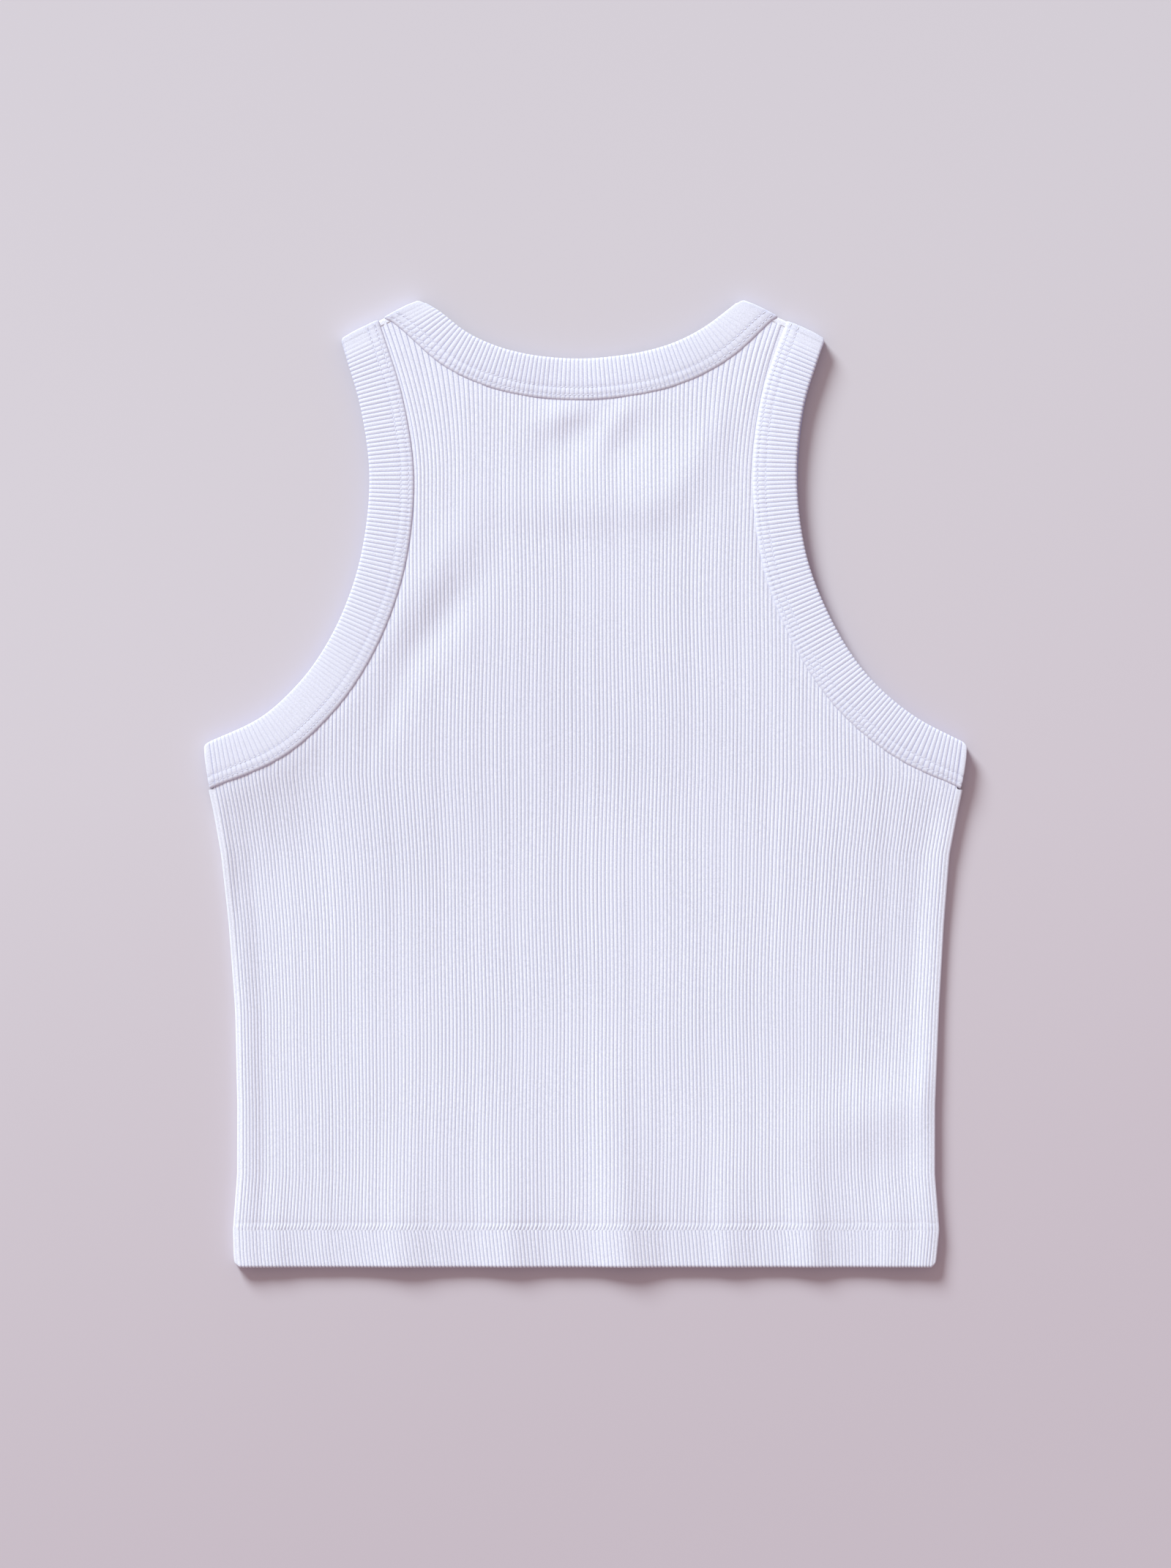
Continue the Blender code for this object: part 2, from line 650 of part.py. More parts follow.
def main():
    for old in list(bpy.data.objects):
        bpy.data.objects.remove(old, do_unlink=True)
    pieces = [
        add_piece("back_panel", build_back_panel(), PANEL_COLOUR),
        add_piece("front_panel", build_front_panel(), PANEL_COLOUR),
        add_piece("neck_binding", build_neck_binding(), BINDING_COLOUR),
        add_piece("left_armhole_binding", build_armhole_binding("left"), BINDING_COLOUR),
        add_piece("right_armhole_binding", build_armhole_binding("right"), BINDING_COLOUR),
    ]
    centre_on_origin(pieces)


main()
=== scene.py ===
"""Rib-knit tank top, laid flat with its back up: the dressed form over its fixed frame.

Each cut-and-sewn piece is a class that holds its sizes and works out its surface with numpy:
the two panels, the hem, the three folded bindings, the turns of cloth at the shoulders and sides,
and the rows of coverstitch. Lengths are in millimetres until a mesh is made, which is in metres.
The neck points along +Y, +Z is up, and the surface that the garment lies on is at z = 0.
"""

import logging
from dataclasses import dataclass, field
from enum import Enum
from typing import Callable

import bmesh
import bpy
import numpy as np
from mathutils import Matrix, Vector


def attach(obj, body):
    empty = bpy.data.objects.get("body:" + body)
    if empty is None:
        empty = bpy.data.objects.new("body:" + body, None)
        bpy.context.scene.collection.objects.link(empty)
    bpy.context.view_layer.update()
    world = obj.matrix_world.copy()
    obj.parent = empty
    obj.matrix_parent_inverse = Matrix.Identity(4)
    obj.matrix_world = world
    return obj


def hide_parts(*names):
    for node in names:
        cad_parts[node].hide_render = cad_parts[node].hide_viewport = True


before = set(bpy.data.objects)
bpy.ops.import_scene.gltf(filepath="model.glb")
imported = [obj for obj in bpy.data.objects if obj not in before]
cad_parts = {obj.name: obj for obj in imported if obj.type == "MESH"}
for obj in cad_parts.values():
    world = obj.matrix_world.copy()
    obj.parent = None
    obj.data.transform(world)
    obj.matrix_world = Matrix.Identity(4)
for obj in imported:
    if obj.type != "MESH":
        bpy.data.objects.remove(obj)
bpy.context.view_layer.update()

LOG = logging.getLogger("tank_top")
MM = 0.001
FAR_AWAY = 1e3
Array = np.ndarray


# ---------------------------------------------------------------------------------------------
# Shader building
# ---------------------------------------------------------------------------------------------


def operator(operation: str, swapped: bool = False) -> Callable[["Wire", "Wire | float"], "Wire"]:
    """An operator of Wire, which adds one Math node.

    Args:
        operation: the node's.
        swapped: the other value comes first, as in the reflected operators.

    Returns:
        The method.
    """

    def method(self: "Wire", other: "Wire | float") -> "Wire":
        """The result of the operation on the two values."""
        return self.maths(operation, *((other, self) if swapped else (self, other)))

    return method


class Wire:
    """A node's output in a material, with the arithmetic of numbers."""

    def __init__(self, board: "Board", socket: bpy.types.NodeSocket) -> None:
        """Wraps a socket.

        Args:
            board: what makes further nodes.
            socket: the output that this stands for.
        """
        self.board = board
        self.socket = socket

    def maths(self, operation: str, *values: "Wire | float") -> "Wire":
        """The result of one Math node on these values."""
        return self.board.node("ShaderNodeMath", {"operation": operation}, dict(enumerate(values)))

    __add__, __radd__ = operator("ADD"), operator("ADD", True)
    __sub__, __rsub__ = operator("SUBTRACT"), operator("SUBTRACT", True)
    __mul__, __rmul__ = operator("MULTIPLY"), operator("MULTIPLY", True)
    __truediv__ = operator("DIVIDE")

    def sine(self) -> "Wire":
        """The sine of self."""
        return self.maths("SINE", self)

    def power(self, exponent: float) -> "Wire":
        """self to this power."""
        return self.maths("POWER", self, exponent)

    def fraction(self) -> "Wire":
        """self without its whole part."""
        return self.maths("FRACT", self)

    def size(self) -> "Wire":
        """self without its sign."""
        return self.maths("ABSOLUTE", self)

    def between(self, low: float, high: float) -> "Wire":
        """A smooth step.

        Args:
            low: where it is 0.
            high: where it is 1.

        Returns:
            The step as self goes from low to high.
        """
        settings = {"interpolation_type": "SMOOTHSTEP"}
        values = {"Value": self, "From Min": low, "From Max": high}
        return self.board.node("ShaderNodeMapRange", settings, values, "Result")


class Board:
    """The node tree of one material, under way."""

    def __init__(self, name: str) -> None:
        """Starts a material with an empty tree.

        Args:
            name: the material's.
        """
        self.material = bpy.data.materials.new(name)
        self.material.use_nodes = True
        self.tree = self.material.node_tree
        self.tree.nodes.clear()

    def node(
        self, kind: str, settings: dict | None = None, values: dict | None = None, out: int | str = 0
    ) -> Wire:
        """Adds a node.

        Args:
            kind: the node's type.
            settings: its properties, which are set first.
            values: what its input sockets hold or are linked to, by name or number.
            out: the output that is wanted.

        Returns:
            That output.
        """
        made = self.tree.nodes.new(kind)
        for key, value in (settings or {}).items():
            setattr(made, key, value)
        for key, value in (values or {}).items():
            if isinstance(value, Wire):
                self.tree.links.new(value.socket, made.inputs[key])
            else:
                made.inputs[key].default_value = value
        return Wire(self, made.outputs[out])

    def mix(self, share: Wire, first: tuple, second: tuple) -> Wire:
        """The colour between two colours, the first at share 0 and the second at 1."""
        values = {0: share, 6: rgba(first), 7: rgba(second)}
        return self.node("ShaderNodeMix", {"data_type": "RGBA"}, values, 2)

    def tinted(self, colour: Wire | tuple, share: Wire) -> Wire:
        """The colour scaled by a number."""
        return self.node("ShaderNodeVectorMath", {"operation": "SCALE"}, {0: colour, "Scale": share})

    def noise(self, place: Wire, scale: float, detail: float = 2.0, roughness: float = 0.5) -> Wire:
        """Soft noise from 0 to 1 at this scale of the place."""
        values = {"Vector": place, "Scale": scale, "Detail": detail, "Roughness": roughness}
        return self.node("ShaderNodeTexNoise", None, values, "Fac")

    def bumped(self, height: Wire, strength: float, relief_mm: float) -> Wire:
        """A normal bent by a height from 0 to 1, which stands for the relief."""
        values = {"Height": height, "Strength": strength, "Distance": relief_mm * MM}
        return self.node("ShaderNodeBump", None, values)

    def finish(self, values: dict) -> bpy.types.Material:
        """Ends the tree with a Principled shader.

        Args:
            values: what the shader's inputs hold or are linked to.

        Returns:
            The material.
        """
        shader = self.node("ShaderNodeBsdfPrincipled", None, values)
        end = self.tree.nodes.new("ShaderNodeOutputMaterial")
        self.tree.links.new(shader.socket, end.inputs["Surface"])
        return self.material


def rgba(colour: tuple[float, float, float]) -> tuple[float, float, float, float]:
    """The colour with full alpha."""
    return (*colour, 1.0)


@dataclass(frozen=True)
class KnitFinish:
    """Matt cotton rib knit: near-white crests, painted lavender shade in the valleys, and fine loops of
    yarn.
    """

    name: str
    crest: tuple[float, float, float] = (0.79, 0.797, 0.912)
    # the valley colour is painted shade between the ribs
    valley: tuple[float, float, float] = (0.43, 0.435, 0.645)
    valley_width: float = 0.72  # the crest height at which the valley's painted shade has gone
    roughness: float = 0.92
    sheen: float = 0.06
    loop_mm: float = 0.62  # from one knitted loop to the next along a rib
    wale_mm: float = 1.96  # from one rib to the next
    # painted shade and light of the loops' relief, as a share of the colour
    loop_shade: float = 0.07
    speckle: float = 0.24
    speckle_scale: float = 1500.0
    blotch: float = 0.035
    blotch_scale: float = 14.0
    chevron: float = 1.6  # how many loops a chevron's arm runs back for each rib that it crosses
    relief_mm: float = 0.08
    relief_mix: tuple[float, float] = (0.5, 1.2)  # of the loops and of the speckle

    def material(self) -> bpy.types.Material:
        """Colour runs from the valley's painted shade to the crest colour by the piece's own crest
        attribute, which also carries the shade painted on edges, folds and stitches. Chevrons of loops
        are a sine along each rib, bent by the distance from its middle, and noise breaks them up; the
        loops also paint a little shade and light into the colour.

        Returns:
            The material.
        """
        board = Board(self.name)
        place = board.node("ShaderNodeTexCoord", out="Object")
        along_cloth = board.node("ShaderNodeUVMap", {"uv_map": "cloth"})
        split = board.node("ShaderNodeSeparateXYZ", None, {0: along_cloth}, "X")
        across, along = split, Wire(board, split.socket.node.outputs["Y"])
        crest = board.node("ShaderNodeAttribute", {"attribute_name": "crest"}, out="Fac")
        from_middle = ((across / self.wale_mm).fraction() - 0.5).size()
        loops = ((along / self.loop_mm + from_middle * self.chevron) * (2 * np.pi)).sine()
        fine = board.noise(place, self.speckle_scale, 2.0, 0.6) - 0.5
        broad = board.noise(place, self.blotch_scale, 3.0) - 0.5
        shade = 1.0 + loops * self.loop_shade + fine * (2 * self.speckle) + broad * (2 * self.blotch)
        # painted shade: the colour darkens towards the valley's as the crest attribute falls
        colour = board.mix(crest.between(0.0, self.valley_width), self.valley, self.crest)
        height = loops * self.relief_mix[0] + fine * self.relief_mix[1]
        values = {
            "Base Color": board.tinted(colour, shade),
            "Roughness": self.roughness,
            "Sheen Weight": self.sheen,
            "Sheen Roughness": 0.5,
            "Specular IOR Level": 0.25,
            "Normal": board.bumped(height, 0.6, self.relief_mm),
        }
        return board.finish(values)


BINDING_CREST = (0.765, 0.773, 0.898)


@dataclass(frozen=True)
class ThreadFinish:
    """Matt white sewing thread with the twist of its plies."""

    name: str
    colour: tuple[float, float, float] = (0.79, 0.80, 0.90)
    roughness: float = 0.8
    twist_per_m: float = 2600.0
    shades: tuple[float, float] = (0.93, 0.10)  # painted shade between plies, highlight a top adds
    relief_mm: float = 0.03

    def material(self) -> bpy.types.Material:
        """The plies are a fine slanting wave in the place, which paints shade and highlight into the
        thread's colour and lifts it.

        Returns:
            The material.
        """
        board = Board(self.name)
        place = board.node("ShaderNodeTexCoord", out="Object")
        wave = {"Vector": place, "Scale": self.twist_per_m, "Distortion": 2.0, "Detail": 1.0}
        plies = board.node("ShaderNodeTexWave", {"bands_direction": "DIAGONAL"}, wave, "Fac")
        values = {
            "Base Color": board.tinted(self.colour, self.shades[0] + plies * self.shades[1]),
            "Roughness": self.roughness,
            "Normal": board.bumped(plies, 0.4, self.relief_mm),
        }
        return board.finish(values)


@dataclass(frozen=True)
class GroundFinish:
    """A pale matt mauve-grey surface with a painted fall of light: darker and warmer towards the hem's
    end.
    """

    name: str = "pale_ground"
    # the lit and the dim ends of the painted fall of light
    high: tuple[float, float, float] = (0.607, 0.566, 0.618)
    low: tuple[float, float, float] = (0.555, 0.485, 0.544)
    lean: float = 0.35  # how much of X counts against Y
    # a painted pool of light across the middle, and how it fades
    middle_lift: float = 0.05
    fall: float = 0.125  # of that painted light, lost for each metre up or down
    drift: float = 0.02
    span: tuple[float, float] = (-0.42, 0.30)  # metres, from the low colour to the high one: a painted fall of light
    roughness: float = 0.85

    def material(self) -> bpy.types.Material:
        """A colour that goes from low to high with Y less a share of X, a painted fall of light, and a
        painted pool of light across the middle, with a faint broad drift.

        Returns:
            The material.
        """
        board = Board(self.name)
        place = board.node("ShaderNodeTexCoord", out="Object")
        drift = board.noise(place, 2.5, 2.0) - 0.5
        up = board.node("ShaderNodeSeparateXYZ", None, {0: place}, "Y")
        slanting = up - Wire(board, up.socket.node.outputs["X"]) * self.lean
        colour = board.mix(slanting.between(*self.span), self.low, self.high)
        shade = 1.0 + self.middle_lift + drift * self.drift - up.size() * self.fall
        values = {
            "Base Color": board.tinted(colour, shade),
            "Roughness": self.roughness,
            "Specular IOR Level": 0.2,
        }
        return board.finish(values)


# ---------------------------------------------------------------------------------------------
# Lines and surfaces
# ---------------------------------------------------------------------------------------------


def step(value: Array | float, low: float, high: float) -> Array:
    """A smooth 0 to 1 as the value goes from low to high: 3t^2 - 2t^3 of its share t."""
    t = np.clip((np.asarray(value, float) - low) / (high - low), 0.0, 1.0)
    return t * t * (3.0 - 2.0 * t)


def bump(value: Array, middle: float, half_width: float) -> Array:
    """A bell of height 1 at the middle: e to minus the square of the distance in half widths."""
    return np.exp(-(((np.asarray(value, float) - middle) / half_width) ** 2))


def smooth_curve(points: Array, spacing: float) -> Array:
    """Points along a centripetal Catmull-Rom curve.

    Between each two given points the curve is a blend of the straight lines through their
    neighbours, with knots the square root of the chords apart.

    Args:
        points: the given points, one row each.
        spacing: about how far apart the made ones are.

    Returns:
        The made points.
    """
    points = np.asarray(points, float)
    ends = 2 * points[[0, -1]] - points[[1, -2]]
    padded = np.vstack([ends[:1], points, ends[1:]])
    chords = np.linalg.norm(np.diff(padded, axis=0), axis=1)
    knots = np.concatenate([[0.0], np.cumsum(np.sqrt(chords))])
    made = []
    for i in range(1, len(padded) - 2):
        p, k = padded[i - 1 : i + 3], knots[i - 1 : i + 3]
        count = max(2, int(np.ceil(np.linalg.norm(p[2] - p[1]) / spacing)))
        t = np.linspace(k[1], k[2], count, endpoint=False)[:, None]
        a = [((k[j + 1] - t) * p[j] + (t - k[j]) * p[j + 1]) / (k[j + 1] - k[j]) for j in range(3)]
        b = [((k[j + 2] - t) * a[j] + (t - k[j]) * a[j + 1]) / (k[j + 2] - k[j]) for j in range(2)]
        made.append(((k[2] - t) * b[0] + (t - k[1]) * b[1]) / (k[2] - k[1]))
    return np.vstack([*made, points[-1:]])


def distance(points: Array, line: Array) -> Array:
    """The least distance of each point from the straight runs of a line.

    Args:
        points: (x, y) along their last axis.
        line: the line's points, one row each.

    Returns:
        The distances, in the shape of the other axes.
    """
    flat = points.reshape(-1, 2)
    best = np.full(len(flat), np.inf)
    for start, end in zip(line[:-1], line[1:]):
        along = end - start
        t = np.clip((flat - start) @ along / (along @ along), 0.0, 1.0)
        best = np.minimum(best, np.linalg.norm(flat - start - t[:, None] * along, axis=1))
    return best.reshape(points.shape[:-1])


def unit(vector: Array) -> Array:
    """The vector at length 1."""
    return vector / np.linalg.norm(vector)


def seam(first: Array, second: Array, first_at: Array, second_at: Array) -> Array:
    """Triangles that join two rows of points which run side by side.

    Each run of the first row goes to the point of the second that is nearest to its middle along
    the rows, and each run of the second row to the point of the first where that changes.

    Args:
        first: the first row's point numbers.
        second: the second row's.
        first_at: rising places of the first row's points along it.
        second_at: the same of the second row.

    Returns:
        The triangles, one row of point numbers each.
    """
    middles = (first_at[:-1] + first_at[1:]) / 2
    second_middles = (second_at[:-1] + second_at[1:]) / 2
    partner = np.searchsorted(second_middles, middles)
    turn = np.searchsorted(partner, np.arange(len(second) - 1), side="right")
    return np.vstack(
        [
            np.column_stack([first[:-1], first[1:], second[partner]]),
            np.column_stack([first[turn], second[1:], second[:-1]]),
        ]
    )


class Skin:
    """A closed surface under way: points, faces, pattern places and crest tones of painted shade."""

    def __init__(self) -> None:
        """Starts with nothing."""
        self.points: list[Array] = []
        self.cloth: list[Array] = []
        self.crest: list[Array] = []
        self.quads: list[Array] = []
        self.triangles: list[Array] = []
        self.count = 0

    def add(self, points: Array, cloth: Array, crest: Array) -> Array:
        """Adds points.

        Args:
            points: places in millimetres.
            cloth: each point's (across, along) in the cloth, in millimetres.
            crest: its tone of painted shade, 1 on a rib's crest and towards 0 in a valley.

        Returns:
            Their numbers, in the shape of crest.
        """
        total = crest.size
        self.points.append(points.reshape(total, 3))
        self.cloth.append(cloth.reshape(total, 2))
        self.crest.append(crest.reshape(total))
        first, self.count = self.count, self.count + total
        return np.arange(first, self.count).reshape(crest.shape)

    def weave(self, numbers: Array, wrap_first: bool = False, wrap_second: bool = False) -> None:
        """Adds the faces of a grid of points.

        A cell whose one side has shrunk to a point becomes a triangle, and one with two such
        sides is left out.

        Args:
            numbers: the grid's point numbers.
            wrap_first: the first way round closes on itself.
            wrap_second: the second does.
        """
        grid = np.vstack([numbers, numbers[:1]]) if wrap_first else numbers
        grid = np.hstack([grid, grid[:, :1]]) if wrap_second else grid
        a, b, c, d = grid[:-1, :-1], grid[1:, :-1], grid[1:, 1:], grid[:-1, 1:]
        near, far = a == d, b == c
        whole = ~near & ~far
        self.quads.append(np.stack([a, b, c, d], -1)[whole])
        self.triangles.append(np.stack([a, b, c], -1)[near & ~far])
        self.triangles.append(np.stack([a, b, d], -1)[far & ~near])

    def tube(self, grid: Array, cloth: Array, crest: Array, end_crest: float) -> None:
        """Adds a section that is carried along a line, closed at both ends.

        Args:
            grid: its points: place along the line, point of the section, axis.
            cloth: each point's (across, along) in the cloth.
            crest: each point's tone of painted shade.
            end_crest: that tone in the middle of the two ends.
        """
        numbers = self.add(grid, cloth, crest)
        ends = [self.add(grid[end].mean(0), np.zeros(2), np.array([end_crest]))[0] for end in (0, -1)]
        first, last = (np.full((1, grid.shape[1]), end) for end in ends)
        self.weave(np.vstack([first, numbers, last]), wrap_second=True)

    def scatter(self, points: Array, cloth: Array, quads: Array, triangles: Array) -> None:
        """Adds many small bodies of the same make.

        Args:
            points: their points: body, point, axis.
            cloth: each point's (across, along) in the cloth.
            quads: the four-sided faces of one body.
            triangles: its three-sided faces.
        """
        bodies, size = points.shape[:2]
        numbers = self.add(points, cloth, np.ones((bodies, size)))
        self.quads.append(numbers[:, quads].reshape(-1, 4))
        self.triangles.append(numbers[:, triangles].reshape(-1, 3))

    def piece(self, name: str, shift: Array) -> bpy.types.Object:
        """Makes the object, with its faces turned outwards, smooth, and its place in its mesh.

        Args:
            name: the piece's.
            shift: added to every point, in millimetres.

        Returns:
            The object, linked to the scene.
        """
        points = (np.vstack(self.points) + shift) * MM
        quads = np.vstack(self.quads) if self.quads else np.zeros((0, 4), int)
        triangles = np.vstack(self.triangles) if self.triangles else np.zeros((0, 3), int)
        mesh = bpy.data.meshes.new(name)
        mesh.from_pydata(points.tolist(), [], quads.tolist() + triangles.tolist())
        # the crest attribute carries each point's tone of painted shade to the knit material
        attribute = mesh.attributes.new("crest", "FLOAT", "POINT")
        attribute.data.foreach_set("value", np.concatenate(self.crest).astype(np.float32))
        work = bmesh.new()
        work.from_mesh(mesh)
        bmesh.ops.recalc_face_normals(work, faces=work.faces)
        if work.calc_volume(signed=True) < 0:
            bmesh.ops.reverse_faces(work, faces=work.faces)
        work.to_mesh(mesh)
        work.free()
        corners = np.zeros(len(mesh.loops), np.int32)
        mesh.loops.foreach_get("vertex_index", corners)
        layer = mesh.uv_layers.new(name="cloth")
        layer.data.foreach_set("uv", np.vstack(self.cloth)[corners].astype(np.float32).ravel())
        mesh.shade_smooth()
        return placed_object(name, mesh)


def placed_object(name: str, data: bpy.types.ID) -> bpy.types.Object:
    """Puts a new object into the scene.

    Args:
        name: the object's.
        data: its mesh, camera or light.

    Returns:
        The object.
    """
    made = bpy.data.objects.new(name, data)
    bpy.context.scene.collection.objects.link(made)
    return made


# ---------------------------------------------------------------------------------------------
# The garment's outline and how it lies
# ---------------------------------------------------------------------------------------------


class Side(Enum):
    """One side of the garment, as seen from above."""

    LEFT = -1.0
    RIGHT = 1.0


@dataclass(frozen=True)
class Sizes:
    """Sizes that all the pieces share, in millimetres."""

    cloth: float = 1.0
    gap: float = 0.3
    band_thick: float = 3.6
    arm_band: tuple[float, float] = (21.7, 23.0)  # at the shoulder, and away from it
    neck_band: tuple[float, float] = (20.5, 21.2)
    hem_y: float = -247.0
    hem_depth: float = 18.7
    hem_step: float = 4.0
    hem_turn_up: float = 1.0
    chest_half: float = 193.5
    rib_pitch: float = 1.96
    rib_rise: float = 0.26
    band_pitch: float = 2.08
    band_rise: float = 0.20
    corner_radius: float = 3.5
    arm_raw_edge: float = 16.0  # of a panel, in from an armhole's free edge
    neck_raw_edge: float = 14.0
    stitch_gap: float = 3.7  # from the hem's lower row of stitches to its upper one

    @property
    def back_lift(self) -> float:
        """How high the back half of a binding lies, on its front half."""
        return self.band_thick + self.gap

    @property
    def fold_radius(self) -> float:
        """The radius of a fold's middle line."""
        return self.back_lift / 2

    @property
    def fold_reach(self) -> float:
        """How far a fold's outer face stands beyond where its turn starts."""
        return self.fold_radius + self.band_thick / 2

    @property
    def stitch_y(self) -> float:
        """Where the hem's lower row of stitches runs."""
        return self.hem_y + self.hem_depth

    @property
    def stitch_rows(self) -> tuple[float, float]:
        """Where the hem's two rows of stitches run."""
        return self.stitch_y, self.stitch_y + self.stitch_gap


SIZES = Sizes()


def inset_of(share: Array) -> Array:
    """How far a line at this share of the half width is from the side, at the chest."""
    return SIZES.chest_half * (1 - np.abs(share))


@dataclass(frozen=True)
class Outline:
    """The garment's edges as it lies, in millimetres from the middle line."""

    side_y: tuple = (-247.0, -240.0, -228.0, -200.0, -165.0, -116.0, -71.0, -37.0, -15.0, 3.0)
    side_left: tuple = (178.6, 179.2, 179.5, 177.4, 177.3, 178.4, 181.8, 185.5, 189.4, 193.4)
    side_right: tuple = (178.4, 179.2, 180.4, 178.2, 178.3, 180.3, 182.9, 185.6, 189.8, 193.6)
    arm_y: tuple = (226.5, 214.0, 190.0, 155.0, 115.0, 85.5, 63.0, 48.0, 33.0, 18.9)
    arm_left: tuple = (125.0, 121.0, 114.2, 109.8, 114.2, 123.9, 136.2, 148.2, 165.3, 195.0)
    arm_right: tuple = (122.6, 118.0, 110.8, 107.6, 112.7, 123.9, 137.0, 149.7, 168.3, 195.2)
    back_x: tuple = (-85.1, -74.6, -60.0, -44.8, -29.9, -14.9, 0.0, 14.9, 29.9, 44.8, 59.7, 80.2)
    back_y: tuple = (246.3, 240.0, 228.8, 221.9, 218.0, 216.1, 215.7, 216.9, 219.3, 223.7, 231.2, 246.6)
    front_x: tuple = (
        -85.1, -79.0, -73.5, -68.5, -61.0, -48.0, -28.0, 0.0,
        28.0, 47.0, 59.0, 65.8, 70.5, 75.5, 80.2,
    )
    front_y: tuple = (
        246.3, 226.0, 206.0, 188.0, 172.0, 160.0, 154.5, 153.5,
        155.5, 162.0, 174.5, 190.0, 207.0, 227.0, 246.6,
    )
    lean: float = 15.2  # how far the ribs lean out by the shoulder
    lean_y: tuple = (155.0, 226.5)
    lean_x: tuple = (45.0, 90.0)
    lean_power: float = 1.8

    def armhole(self, side: Side, spacing: float = 4.0) -> Array:
        """The free edge of one armhole, from the shoulder to the underarm."""
        reach = self.arm_left if side is Side.LEFT else self.arm_right
        return smooth_curve(np.column_stack([side.value * np.array(reach), self.arm_y]), spacing)

    def back_neck(self, spacing: float = 4.0) -> Array:
        """The back neck's free edge, from left to right."""
        return smooth_curve(np.column_stack([self.back_x, self.back_y]), spacing)

    def front_neck(self, spacing: float = 4.0) -> Array:
        """The front neck's free edge, from left to right."""
        return smooth_curve(np.column_stack([self.front_x, self.front_y]), spacing)

    def reach(self, sign: Array, y: Array) -> Array:
        """The body's half width.

        Args:
            sign: below 0 for the left side, else the right one.
            y: the heights up the garment.

        Returns:
            One half width for each height.
        """
        left = np.interp(y, self.side_y, self.side_left, right=SIZES.chest_half)
        right = np.interp(y, self.side_y, self.side_right, right=SIZES.chest_half)
        return np.where(np.asarray(sign) < 0, left, right)

    def rib_x(self, share: Array, y: Array) -> Array:
        """Where the rib at this share of the half width, -1 to 1, lies at each y.

        Near the middle a rib is straight. The side's own in and out comes in with the square of
        the share, and above the chest a rib leans out with the armhole by a power of the height.

        Args:
            share: the ribs' shares.
            y: the heights up the garment.

        Returns:
            The x of each.
        """
        size = np.abs(share)
        chest = SIZES.chest_half
        x = chest * size + (self.reach(share, y) - chest) * size * size
        up = np.clip((y - self.lean_y[0]) / (self.lean_y[1] - self.lean_y[0]), 0.0, None)
        return np.sign(share) * (x + self.lean * up**self.lean_power * step(x, *self.lean_x))


OUTLINE = Outline()
ARMHOLES = {side: OUTLINE.armhole(side) for side in Side}
BACK_NECK = OUTLINE.back_neck()
FRONT_NECK = OUTLINE.front_neck()
SHOULDERS = {
    Side.LEFT: np.array([ARMHOLES[Side.LEFT][0], BACK_NECK[0]]),
    Side.RIGHT: np.array([ARMHOLES[Side.RIGHT][0], BACK_NECK[-1]]),
}


def from_armholes(points: Array) -> Array:
    """How far each point is from the nearer armhole's free edge."""
    return np.minimum(*(distance(points, ARMHOLES[side]) for side in Side))


def from_side(points: Array) -> Array:
    """How far each point is in from the side of the body."""
    return OUTLINE.reach(points[..., 0], points[..., 1]) - np.abs(points[..., 0])


@dataclass(frozen=True)
class Crease:
    """A soft ridge, or a trough where its rise is negative: a long bell, in millimetres."""

    x: float
    y: float
    length: float
    width: float
    heading: float
    rise: float

    def height(self, points: Array) -> Array:
        """Its height: the rise times a bell along it and a bell across it.

        Args:
            points: (x, y) along their last axis.

        Returns:
            The height at each point.
        """
        heading = np.radians(self.heading)
        away = points - (self.x, self.y)
        along = away @ (np.cos(heading), np.sin(heading))
        across = away @ (-np.sin(heading), np.cos(heading))
        return self.rise * bump(along, 0.0, self.length) * bump(across, 0.0, self.width)


